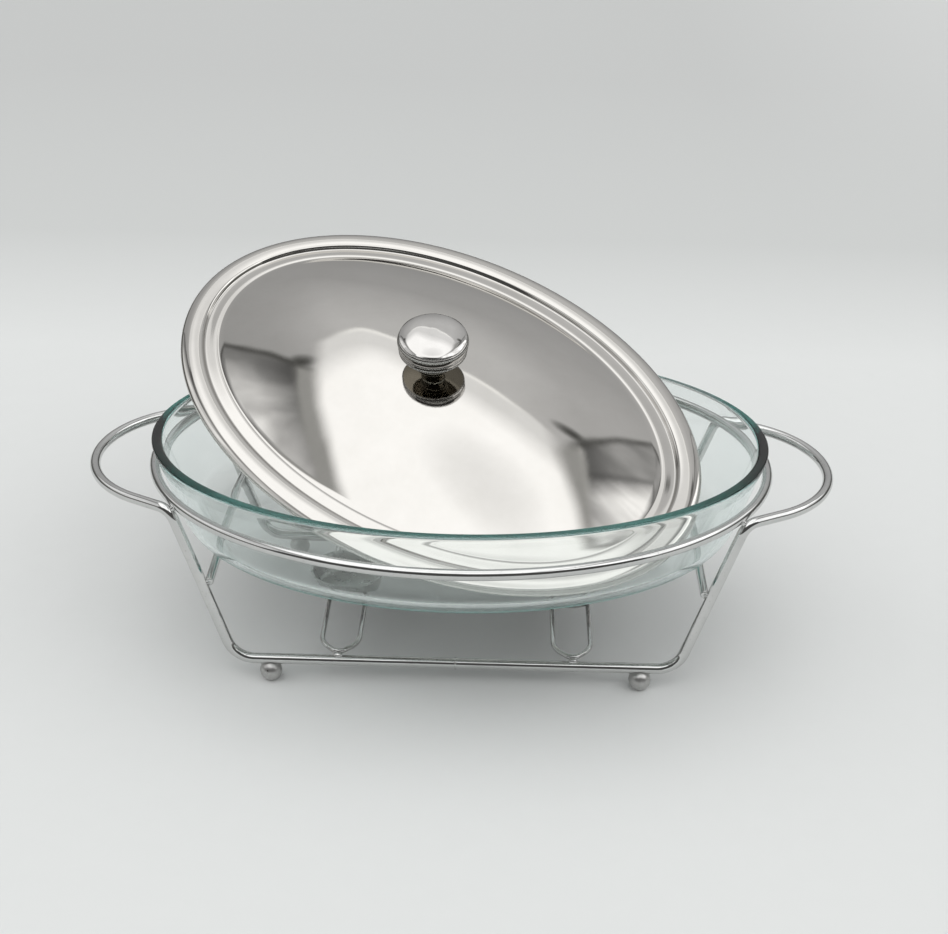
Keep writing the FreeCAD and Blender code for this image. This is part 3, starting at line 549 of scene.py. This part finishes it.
# %% [markdown]
# ## Finishes
# A material is a small net of nodes. These helpers make the nodes and links short to write, and
# each finish below then says only what it looks like. Patterns read Object coordinates, or the
# UV map where they follow the metal, so they stay put when a piece moves.

# %% Node helpers
def net(name):
    material = bpy.data.materials.new(name)
    material.use_nodes = True
    tree = material.node_tree
    tree.nodes.clear()
    shader = tree.nodes.new("ShaderNodeBsdfPrincipled")
    output = tree.nodes.new("ShaderNodeOutputMaterial")
    tree.links.new(shader.outputs[0], output.inputs["Surface"])
    return material, tree, shader, output


def give(tree, socket, value):
    """A socket gets either a link from another socket or a plain value."""
    if isinstance(value, bpy.types.NodeSocket):
        tree.links.new(value, socket)
    else:
        socket.default_value = value


def node(tree, kind, inputs=(), **settings):
    """A node of a kind, with settings by name and inputs given as values or as other sockets."""
    made = tree.nodes.new("ShaderNode" + kind)
    for key, value in settings.items():
        setattr(made, key, value)
    for key, value in dict(inputs).items():
        give(tree, made.inputs[key], value)
    return made


def noise(tree, where, scale, detail=4.0, rough=0.55, distortion=0.0):
    return node(tree, "TexNoise", {"Vector": where, "Scale": scale, "Detail": detail, "Roughness": rough,
                                   "Distortion": distortion}).outputs["Fac"]


def ramp(tree, value, low, high, to_low=0.0, to_high=1.0):
    return node(tree, "MapRange", {"Value": value, "From Min": low, "From Max": high,
                                   "To Min": to_low, "To Max": to_high}).outputs["Result"]


def blend(tree, share, one, other):
    made = node(tree, "Mix", data_type="RGBA")
    for socket, value in ((made.inputs[0], share), (made.inputs[6], one), (made.inputs[7], other)):
        give(tree, socket, value)
    return made.outputs[2]


def bump(tree, height, strength, distance):
    return node(tree, "Bump", {"Height": height, "Strength": strength, "Distance": distance}).outputs[0]


def stretched(tree, source, scale):
    return node(tree, "Mapping", {"Vector": source, "Scale": scale}).outputs[0]


print("helpers:", [helper.__name__ for helper in (net, give, node, noise, ramp, blend, bump, stretched)])

# %% [markdown]
# ## Chromed wire
# Chrome over drawn wire is bright but never perfect: it carries faint draw marks along the wire,
# a slightly uneven gloss and small dull specks. A plain metal shader would look like a drawing of
# chrome, so noise along the UV map gives the marks, and noise in space gives cloud and specks.

# %% Chrome
CHROME_DARK, CHROME_LIGHT = (0.54, 0.545, 0.54, 1), (0.66, 0.66, 0.65, 1)
CHROME_SPECK = (0.36, 0.36, 0.35, 1)


def chrome_finish():
    material, tree, shader, _ = net("rack_chrome_finish")
    where = node(tree, "TexCoord")
    marks = noise(tree, stretched(tree, where.outputs["UV"], (40, 18, 1)), 1.0, 3.0)
    cloudy = noise(tree, where.outputs["Object"], 90.0, 4.0)
    specks = ramp(tree, noise(tree, where.outputs["Object"], 900.0, 2.0), 0.66, 0.74)
    colour = blend(tree, specks, blend(tree, cloudy, CHROME_DARK, CHROME_LIGHT), CHROME_SPECK)
    tree.links.new(colour, shader.inputs["Base Color"])
    tree.links.new(ramp(tree, cloudy, 0.3, 0.7, 0.02, 0.08), shader.inputs["Roughness"])
    shader.inputs["Metallic"].default_value = 1.0
    tree.links.new(bump(tree, marks, 0.05, 0.0003), shader.inputs["Normal"])
    return material


CHROME = chrome_finish()
print(CHROME.name, "has", len(CHROME.node_tree.nodes), "nodes")

# %% [markdown]
# ## Steel of the lid
# Stainless sheet, machine polished: a warm grey mirror with very fine hairlines that run round
# the oval, a gentle waviness left by the press, and a faint haze here and there. An anisotropic
# shader could give the hairlines, but noise pressed flat along V follows the oval by itself.

# %% Lid steel
LID_DARK, LID_LIGHT = (0.525, 0.512, 0.486, 1), (0.595, 0.582, 0.56, 1)


def lid_finish():
    material, tree, shader, _ = net("lid_steel_finish")
    where = node(tree, "TexCoord")
    hair = noise(tree, stretched(tree, where.outputs["UV"], (9, 9000, 1)), 1.0, 3.0)
    wave = noise(tree, where.outputs["Object"], 14.0, 2.0)
    haze = noise(tree, where.outputs["Object"], 45.0, 5.0, 0.65)
    tree.links.new(blend(tree, haze, LID_DARK, LID_LIGHT), shader.inputs["Base Color"])
    tree.links.new(ramp(tree, haze, 0.3, 0.75, 0.03, 0.07), shader.inputs["Roughness"])
    shader.inputs["Metallic"].default_value = 1.0
    fine = bump(tree, hair, 0.014, 0.0002)
    soft = node(tree, "Bump", {"Height": wave, "Strength": 0.08, "Distance": 0.004, "Normal": fine})
    tree.links.new(soft.outputs[0], shader.inputs["Normal"])
    return material


LID_STEEL = lid_finish()
print(LID_STEEL.name, "has", len(LID_STEEL.node_tree.nodes), "nodes")

# %% [markdown]
# ## Steel of the knob, cups and feet
# The knob is polished like the lid but colder and cleaner. Its drum gets a darker copy of the same
# steel, a painted dark reflection. The drum turns under near its foot, where it shows the dark neck,
# so a painted reflection of the neck darkens its colour there by the distance along the profile. The
# cups are duller pressed steel, and the balls are tumbled, so their gloss is soft and spotted. One
# function with a few values serves them all.

# %% Other steels
PAINTED_NECK_REFLECTION, NECK_REFLECTION_EDGE = (0.30, 0.28, 0.24, 1), 0.0005


def polished_steel(name, dark, light, gloss, scale, grain=0.06, foot=None):
    """Metal clouded between two colours; gloss is the least and most roughness, foot the length along the
    profile darkened by a painted reflection.
    """
    material, tree, shader, _ = net(name)
    where = node(tree, "TexCoord")
    cloudy = noise(tree, where.outputs["Object"], scale, 4.0)
    hair = noise(tree, stretched(tree, where.outputs["UV"], (4, 6000, 1)), 1.0, 2.0)
    colour = blend(tree, cloudy, (*dark, 1), (*light, 1))
    # painted reflection of the dark neck: the colour turns dark up to foot along the profile
    if foot:
        along = node(tree, "SeparateXYZ", {0: where.outputs["UV"]}).outputs["Y"]
        colour = blend(tree, ramp(tree, along, foot, foot + NECK_REFLECTION_EDGE, 1.0, 0.0), colour, PAINTED_NECK_REFLECTION)
    tree.links.new(colour, shader.inputs["Base Color"])
    tree.links.new(ramp(tree, cloudy, 0.3, 0.7, *gloss), shader.inputs["Roughness"])
    shader.inputs["Metallic"].default_value = 1.0
    tree.links.new(bump(tree, hair, grain, 0.0002), shader.inputs["Normal"])
    return material


KNOB_STEEL = polished_steel("knob_steel_finish", (0.51, 0.50, 0.485), (0.61, 0.60, 0.585),
                            (0.02, 0.06), 120.0, grain=0.015)
# the drum's darker copy of the knob steel is a painted dark reflection
DRUM_PAINTED_DARK_STEEL = polished_steel("knob_drum_painted_dark_finish", (0.32, 0.31, 0.295), (0.42, 0.41, 0.395),
                            (0.02, 0.06), 120.0, grain=0.015, foot=0.0116)
# the neck is coloured very dark, so that the space under the drum looks black
KNOB_DARK = polished_steel("knob_dark_finish", (0.16, 0.15, 0.13), (0.25, 0.235, 0.20),
                           (0.14, 0.26), 200.0)
CUP_STEEL = polished_steel("cup_steel_finish", (0.42, 0.42, 0.41), (0.60, 0.60, 0.59),
                           (0.22, 0.38), 160.0)
FOOT_STEEL = polished_steel("foot_steel_finish", (0.40, 0.40, 0.39), (0.60, 0.595, 0.585),
                            (0.26, 0.42), 260.0)
FASTENER_STEEL = polished_steel("fastener_steel_finish", (0.45, 0.45, 0.45), (0.62, 0.62, 0.62),
                                (0.2, 0.35), 300.0)
INSERT_BRASS = polished_steel("insert_brass_finish", (0.52, 0.38, 0.17), (0.70, 0.54, 0.27),
                              (0.2, 0.32), 300.0)
print("finishes so far:", [made.name for made in bpy.data.materials if made.name.endswith("_finish")])

# %% [markdown]
# ## Glass
# Clear glass with a green-blue depth: seen through the wall it has hardly any colour, seen along
# the wall, as at the rim and the lower corner, the colour adds up. A tinted surface would colour
# both alike, so the colour is an absorption inside the body. The pressed surface is very slightly
# wavy.

# %% Glass
GLASS_CLEAR, GLASS_DEPTH, GLASS_DENSITY = (0.985, 1.0, 0.995, 1), (0.32, 0.70, 0.67, 1), 10.0


def glass_finish():
    material, tree, shader, output = net("dish_glass_finish")
    where = node(tree, "TexCoord")
    wave = noise(tree, where.outputs["Object"], 22.0, 2.0)
    streak = noise(tree, stretched(tree, where.outputs["UV"], (30, 60, 1)), 1.0, 2.0)
    shader.inputs["Base Color"].default_value = GLASS_CLEAR
    shader.inputs["IOR"].default_value = 1.5
    shader.inputs["Transmission Weight"].default_value = 1.0
    tree.links.new(ramp(tree, streak, 0.3, 0.7, 0.0, 0.012), shader.inputs["Roughness"])
    tree.links.new(bump(tree, wave, 0.05, 0.002), shader.inputs["Normal"])
    depth = node(tree, "VolumeAbsorption", {"Color": GLASS_DEPTH, "Density": GLASS_DENSITY})
    tree.links.new(depth.outputs[0], output.inputs["Volume"])
    return material


GLASS = glass_finish()
print(GLASS.name, "has", len(GLASS.node_tree.nodes), "nodes")

# %% [markdown]
# ## Putting the finishes on
# Each new piece takes one finish. The screw, the washer and the insert under the knob keep their
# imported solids, because no side shows them, and get a finish for when the knob is taken apart.

# %% Dressing
def dress(names, material):
    for name in names:
        found = bpy.data.objects[name]
        if found.material_slots:
            for place in found.material_slots:
                place.material = material
        else:
            found.data.materials.append(material)


PAIRED_WIRES = ("frame_wire_{}_bent", "crossbar_{}_wire", "candle_loop_{}_wire")
dress([wire.format(word) for wire in PAIRED_WIRES for _, word in SIDES], CHROME)
dress(["hoop_wire", "weld_beads"], CHROME)
dress([f"foot_{where}_{word}_ball" for _, where in DEPTHS for _, word in SIDES], FOOT_STEEL)
dress([f"candle_cup_{word}_pressed" for _, word in SIDES], CUP_STEEL)
dress(["glass_bowl"], GLASS)
dress(["lid_pressed"], LID_STEEL)
dress(["knob_cap_pressed"], KNOB_STEEL)
dress(["knob_drum_pressed"], DRUM_PAINTED_DARK_STEEL)
dress(["knob_neck_turned"], KNOB_DARK)
dress([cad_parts[name].name for name in ("knob_screw", "knob_washer")], FASTENER_STEEL)
dress([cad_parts["knob_insert"].name], INSERT_BRASS)
used = (CHROME, FOOT_STEEL, CUP_STEEL, GLASS, LID_STEEL, KNOB_STEEL, DRUM_PAINTED_DARK_STEEL, KNOB_DARK)
print("pieces in each finish:", {finish.name: finish.users for finish in used})

# %% [markdown]
# ## The floor
# The object stands on a wide sheet of pale paper. Its colour is painted a little darker towards the
# back, a painted shade where the real one curves up and gets less light, and far back it is painted a
# little lighter towards the right. A curved backdrop would shade itself, but a flat floor that changes
# its tone with the distance is simpler, and its shadow stays the real one.

# %% Floor
FLOOR_HALF = 9.0
PAPER_NEAR = (0.676, 0.69, 0.683, 1), (0.69, 0.704, 0.697, 1)
PAPER_MIDDLE = (0.551, 0.564, 0.557, 1)
PAPER_FAR = (0.51, 0.52, 0.515, 1), (0.595, 0.605, 0.60, 1)
NEAR_TO_MIDDLE, MIDDLE_TO_FAR, FAR_LIGHT_LEFT_TO_RIGHT = (0.40, 0.68), (0.68, 1.3), (0.3, 0.8)
corners = np.array([[-1, -1, 0], [1, -1, 0], [1, 1, 0], [-1, 1, 0]]) * FLOOR_HALF
mesh = bpy.data.meshes.new("floor")
mesh.from_pydata(corners.tolist(), [], [(0, 1, 2, 3)])
floor = bpy.data.objects.new("floor", mesh)
scene.collection.objects.link(floor)
material, tree, shader, _ = net("floor_paper")
where = node(tree, "TexCoord").outputs["Object"]
spot = node(tree, "SeparateXYZ", {0: where}).outputs
# painted shade: the paper darkens from near to middle to far; painted light: far back it is lighter towards
# the right
near = blend(tree, noise(tree, where, 60.0, 3.0), *PAPER_NEAR)
far = blend(tree, ramp(tree, spot["X"], *FAR_LIGHT_LEFT_TO_RIGHT), *PAPER_FAR)
middle = blend(tree, ramp(tree, spot["Y"], *NEAR_TO_MIDDLE), near, PAPER_MIDDLE)
paper = blend(tree, ramp(tree, spot["Y"], *MIDDLE_TO_FAR), middle, far)
tree.links.new(paper, shader.inputs["Base Color"])
shader.inputs["Roughness"].default_value = 0.7
shader.inputs["Specular IOR Level"].default_value = 0.3
mesh.materials.append(material)
print("floor:", [round(s, 1) for s in floor.dimensions], "m")

# %% [markdown]
# ## The light tent
# The metal shows its surroundings, so they matter as much as the finish. The set is a white light
# tent: a bright panel overhead, a grey back, pale sides beyond dark seams, and an opening in front.
# Planes and lamps could build it, but a world colour worked out from the direction of each ray is
# lighter, and each edge of the tent stays one line of the script. A direction divided by its height
# is a place (x, y) on a ceiling one unit up, where straight edges stay straight lines. The tent
# gives all the light, and there is no lamp.

# %% Places on the ceiling
HORIZON = 0.02
world = bpy.data.worlds.new("light_tent")
world.use_nodes = True
TENT = world.node_tree
TENT.nodes.clear()


def math_of(how, *values):
    return node(TENT, "Math", dict(enumerate(values)), operation=how).outputs[0]


def times(one, other):
    return math_of("MULTIPLY", one, other)


def straight(value, line):
    """A straight edge, as slope × value + shift."""
    return math_of("MULTIPLY_ADD", value, *line)


def fade(value, *ends):
    return ramp(TENT, value, *ends)


def mixed(share, one, other):
    return blend(TENT, share, one, other)


def apart(one, other):
    """Square of the distance from the place where both values are zero."""
    return math_of("ADD", math_of("POWER", one, 2.0), math_of("POWER", other, 2.0))


direction = node(TENT, "TexCoord").outputs["Generated"]
way = node(TENT, "SeparateXYZ", {0: direction}).outputs
rays = node(TENT, "LightPath").outputs
height = math_of("MAXIMUM", way["Z"], HORIZON)
x, y = math_of("DIVIDE", way["X"], height), math_of("DIVIDE", way["Y"], height)
print("nodes that find the place on the ceiling:", len(TENT.nodes))

# %% [markdown]
# ## The panel overhead
# The lid shows the panel with crisp edges, a corner in the back edge with a thin lit hem, and a
# faint shade inside. A soft lamp would show none of these. Each edge is a line, and the distance
# past it is faded over a narrow width. A smooth minimum joins the two back edges and rounds the
# corner between them.

# %% Panel
PANEL_LEFT, LEFT_FADE, RIGHT_FADE = (0.24, -0.57), (-0.025, 0.035), (0.37, 0.305)
PANEL_BACK, BACK_ROUND, BACK_FADE = ((-0.68, 0.575), (0.8, 0.92)), 0.12, (-0.02, 0.02)
SHADE_ACROSS, SHADE_ALONG, SHADE_FADE = (5.0, 0.0), (4.0, 0.6), (0.0, 1.3, 1.2, 1.48)
BACK_SHADE = (0.13, 0.3, 0.68, 1.0)
HEM_FADE, HEM_LEFT, HEM_RIGHT = (0.024, 0.006), (-0.38, -0.28), (0.30, 0.18)
HEM_COLOUR = (1.28, 1.28, 1.26, 1)
from_left = math_of("SUBTRACT", x, straight(y, PANEL_LEFT))
back_edge = math_of("SMOOTH_MIN", *(straight(x, line) for line in PANEL_BACK), BACK_ROUND)
from_back = math_of("SUBTRACT", back_edge, y)
panel = times(times(fade(from_left, *LEFT_FADE), fade(x, *RIGHT_FADE)), fade(from_back, *BACK_FADE))
shade = apart(straight(x, SHADE_ACROSS), straight(y, SHADE_ALONG))
panel_light = times(fade(shade, *SHADE_FADE), fade(from_back, *BACK_SHADE))
hem_share = times(fade(math_of("ABSOLUTE", from_back), *HEM_FADE), fade(x, *HEM_LEFT))
hem_share = times(hem_share, fade(x, *HEM_RIGHT))
print("panel: slopes of its left and back edges", PANEL_LEFT[0], [line[0] for line in PANEL_BACK])

# %% [markdown]
# ## The back wall
# Between the seams the tent's back is a plain grey, lighter in a glow under the panel and darker
# low down. It fills the upper part of the lid's reflection.

# %% Back wall
MIDDLE = (1.0, 0.05)
GLOW_UP, GLOW_LEFT, GLOW_ROUND = (1.7, 0.8), (-0.9, -0.35), (0.55, 0.28, 0.1, 0.24)
BACK_GREY, BACK_LOW = (-0.5, 0.6, 0.43, 0.475), (1.8, 3.5, 1.0, 0.82)
aside = math_of("ABSOLUTE", straight(x, MIDDLE))
glow = times(times(fade(y, *GLOW_UP), fade(x, *GLOW_LEFT)), fade(aside, *GLOW_ROUND))
tent = times(math_of("ADD", fade(x, *BACK_GREY), glow), fade(y, *BACK_LOW))
print("back wall: grey", BACK_GREY[2:], "with a glow of", GLOW_ROUND[3])

# %% [markdown]
# ## The side walls
# Beyond two dark seams the cloth sides hang in folds. They are dark beside the seams and lighter
# away from them, and each has a post in front of it. Soft noise stretched upwards gives the folds.
# On the left the cloth lets in more light on the floor than the metal shows.

# %% Side walls
SEAM_LEFT, SEAM_RIGHT, SEAM_FADE = (-0.9, -0.09), (1.28, -0.2), (-0.02, 0.02)
POST_LEFT, POST_RIGHT, MIDDLE_FADE = (0.25, -0.665), (0.14, 0.40), (-0.05, 0.05)
LEFT_CLOTH, LEFT_POST, LEFT_LIFT = (0.12, 0.5, 0.34, 1.0), (0.0, 0.2, 0.42, 1.0), (-0.05, -0.6, 1.0, 1.5)
RIGHT_FOLD, RIGHT_CLOTH, RIGHT_CREASE = (0.91, -0.226), (0.01, 0.12, 0.47, 1.6), (0.0, 0.03, 0.6, 1.0)
RIGHT_POST, FOLD_SCALE, FOLD_LIGHT = (0.02, 0.15, 0.42, 1.0), (5, 5, 1.6), (0.38, 0.62, 0.72, 1.2)
LOW_FADE, LOW_CLOTH = (0.55, 0.3), (0.6, 0.6, 0.6, 1)
STRIP_FADE, STRIP = (0.02, -0.01), (0.42, 0.42, 0.41, 1)
past_left = math_of("SUBTRACT", straight(x, SEAM_LEFT), y)
past_right = math_of("SUBTRACT", straight(x, SEAM_RIGHT), y)
past_seam = math_of("MAXIMUM", past_left, past_right)
post_left = math_of("SUBTRACT", straight(y, POST_LEFT), x)
post_right = math_of("SUBTRACT", x, straight(y, POST_RIGHT))
past_fold = math_of("SUBTRACT", straight(x, RIGHT_FOLD), y)
left_wall = times(fade(past_left, *LEFT_CLOTH), fade(post_left, *LEFT_POST))
right_wall = times(fade(past_fold, *RIGHT_CLOTH), fade(math_of("ABSOLUTE", past_fold), *RIGHT_CREASE))
right_wall = times(right_wall, fade(post_right, *RIGHT_POST))
folds = noise(TENT, stretched(TENT, direction, FOLD_SCALE), 1.0, 3.0, 0.5, 0.6)
wall = times(mixed(fade(x, *MIDDLE_FADE), left_wall, right_wall), fade(folds, *FOLD_LIGHT))
wall = times(wall, fade(rays["Is Glossy Ray"], 0.0, 1.0, fade(x, *LEFT_LIFT), 1.0))
wall = mixed(fade(way["Z"], *LOW_FADE), wall, LOW_CLOTH)
wall = mixed(fade(math_of("MAXIMUM", post_left, post_right), *STRIP_FADE), wall, STRIP)
tent = mixed(fade(past_seam, *SEAM_FADE), tent, wall)
meet = (SEAM_RIGHT[1] - SEAM_LEFT[1]) / (SEAM_LEFT[0] - SEAM_RIGHT[0])
print("the lines of the two seams meet at x =", round(meet, 3))

# %% [markdown]
# ## Seams, posts and knots
# The seams are thin dark lines in the lid. Under them stand two thin posts, the left one dark and
# the right one light, and a dark knot marks where a post meets its seam. The share of each dark
# mark is its nearness to a line or a point, and the strongest mark wins.

# %% Seams, posts and knots
SEAM_DARK, POST_LIGHT = (0.05, 0.05, 0.045, 1), (0.9, 0.9, 0.88, 1)
SEAM_LINE, SEAM_START, SEAM_OUTWARDS = (0.04, 0.008), (0.42, 0.5), (2.0, 0.6, 0.35, 0.8)
POST_LINE, POST_UP, POST_END = (0.012, 0.003), (-0.1, 0.35, 0.0, 0.5), (0.0, 0.03)
KNOT_ACROSS, KNOT_ALONG, KNOT_FADE = (0.85, -0.413), (1.2, -0.51), (0.0045, 0.0, 0.0, 0.95)
seam = times(fade(math_of("ABSOLUTE", past_seam), *SEAM_LINE), fade(aside, *SEAM_START))
seam = times(seam, fade(aside, *SEAM_OUTWARDS))
post = math_of("MINIMUM", math_of("ABSOLUTE", post_left), math_of("ABSOLUTE", post_right))
post = times(times(fade(post, *POST_LINE), fade(y, *POST_UP)), fade(past_seam, *POST_END))
knot = fade(apart(straight(aside, KNOT_ACROSS), straight(y, KNOT_ALONG)), *KNOT_FADE)
tent = mixed(times(post, fade(x, *MIDDLE_FADE)), tent, POST_LIGHT)
dark_post = times(post, fade(x, *MIDDLE_FADE[::-1]))
tent = mixed(math_of("MAXIMUM", math_of("MAXIMUM", seam, dark_post), knot), tent, SEAM_DARK)
print("nodes with walls, seams and posts:", len(TENT.nodes))

# %% [markdown]
# ## Dark bands and the opening
# Low down the metal shows dark bands, and in front the dark opening where the camera stands. Only
# glossy rays meet them, so the floor keeps its even light. A black card would shade the floor too.
# No piece of the object has a diffuse part, so nothing else could tell.

# %% Bands and opening
LOW_BAND, SKIRT = (0.14, 0.14, 0.13, 1), (0.09, 0.09, 0.085, 1)
OPENING_SEEN, OPENING_LIGHT = (0.08, 0.08, 0.078, 1), (0.8, 0.8, 0.8, 1)
OPENING_SLOPE, OPENING_LEAST, OPENING_FADE = (0.6, 0.0), 0.75, (-0.04, -0.14)
BAND_FOOT, BAND_TOP, BAND_ENDS = (0.02, 0.08), (0.42, 0.28), (0.5, 0.75)
SKIRT_TOP, SKIRT_FRONT = (0.26, 0.14), (0.0, 0.3)
shiny = rays["Is Glossy Ray"]
low = times(times(fade(way["Z"], *BAND_FOOT), fade(way["Z"], *BAND_TOP)),
            fade(math_of("ABSOLUTE", way["X"]), *BAND_ENDS))
tent = mixed(times(low, shiny), tent, LOW_BAND)
skirt = times(fade(way["Z"], *SKIRT_TOP), fade(way["Y"], *SKIRT_FRONT))
tent = mixed(times(skirt, shiny), tent, SKIRT)
tent = mixed(hem_share, mixed(panel, tent, panel_light), HEM_COLOUR)
sideways = math_of("MAXIMUM", straight(math_of("ABSOLUTE", x), OPENING_SLOPE), OPENING_LEAST)
opening = fade(math_of("ADD", sideways, y), *OPENING_FADE)
tent = mixed(opening, tent, mixed(shiny, OPENING_LIGHT, OPENING_SEEN))
print("nodes of the whole tent:", len(TENT.nodes))

# %% [markdown]
# ## The background that is seen
# The camera doesn't look at the tent itself but at a plain pale background. A second backdrop
# would stand in the light, so the Light Path node gives camera rays, and rays that go straight
# through the glass, a colour of their own. It adds no light to the object.

# %% Background
BACKGROUND, TENT_STRENGTH = (0.52, 0.53, 0.526, 1), 1.15
straight_through = times(rays["Is Transmission Ray"], fade(rays["Diffuse Depth"], 0.0, 1.0, 1.0, 0.0))
seen = math_of("MAXIMUM", rays["Is Camera Ray"], straight_through)
light = node(TENT, "Background", {"Color": mixed(seen, tent, BACKGROUND), "Strength": TENT_STRENGTH})
output = TENT.nodes.new("ShaderNodeOutputWorld")
TENT.links.new(light.outputs[0], output.inputs["Surface"])
scene.world = world
print("world:", scene.world.name, "with", len(TENT.nodes), "nodes")

# %% [markdown]
# ## Camera
# The camera stands where the photograph was taken: in front, a little right of the middle, and
# looking down by about 28 degrees. It was found from the hoop, the rails, the rims and the lid. Its
# focal length was found in pixels, so the picture's width turns it into the lens in millimetres.
# Light goes back and forth many times inside the glass rim, so more bounces are allowed.

# %% Camera
AZIMUTH, ELEVATION, ROLL = (math.radians(v) for v in (-0.9, 27.6, 1.05))
FOCAL, DISTANCE, AIM = 1615.0, 930.0, np.array([7.5, 0.0, 102.9])
PHOTO_WIDTH, SENSOR, BOUNCES = 948, 36.0, 48
look = np.array([math.sin(AZIMUTH) * math.cos(ELEVATION), math.cos(AZIMUTH) * math.cos(ELEVATION),
                 -math.sin(ELEVATION)])
level = np.array([math.cos(AZIMUTH), -math.sin(AZIMUTH), 0])
upright = np.cross(level, look)
right = math.cos(ROLL) * level + math.sin(ROLL) * upright
up = math.cos(ROLL) * upright - math.sin(ROLL) * level
camera_data = bpy.data.cameras.new("camera")
camera_data.sensor_width = SENSOR
camera_data.lens = SENSOR * FOCAL / PHOTO_WIDTH
camera = bpy.data.objects.new("camera", camera_data)
stand = Matrix(np.stack([right, up, -look], 1).tolist()).to_4x4()
stand.translation = Vector((AIM - look * DISTANCE) * MM)
camera.matrix_world = stand
scene.collection.objects.link(camera)
scene.camera = camera
scene.view_settings.view_transform = "Standard"
scene.cycles.max_bounces = scene.cycles.glossy_bounces = scene.cycles.transmission_bounces = BOUNCES
print("camera at", [round(v, 3) for v in stand.translation], "lens", round(camera_data.lens, 2))
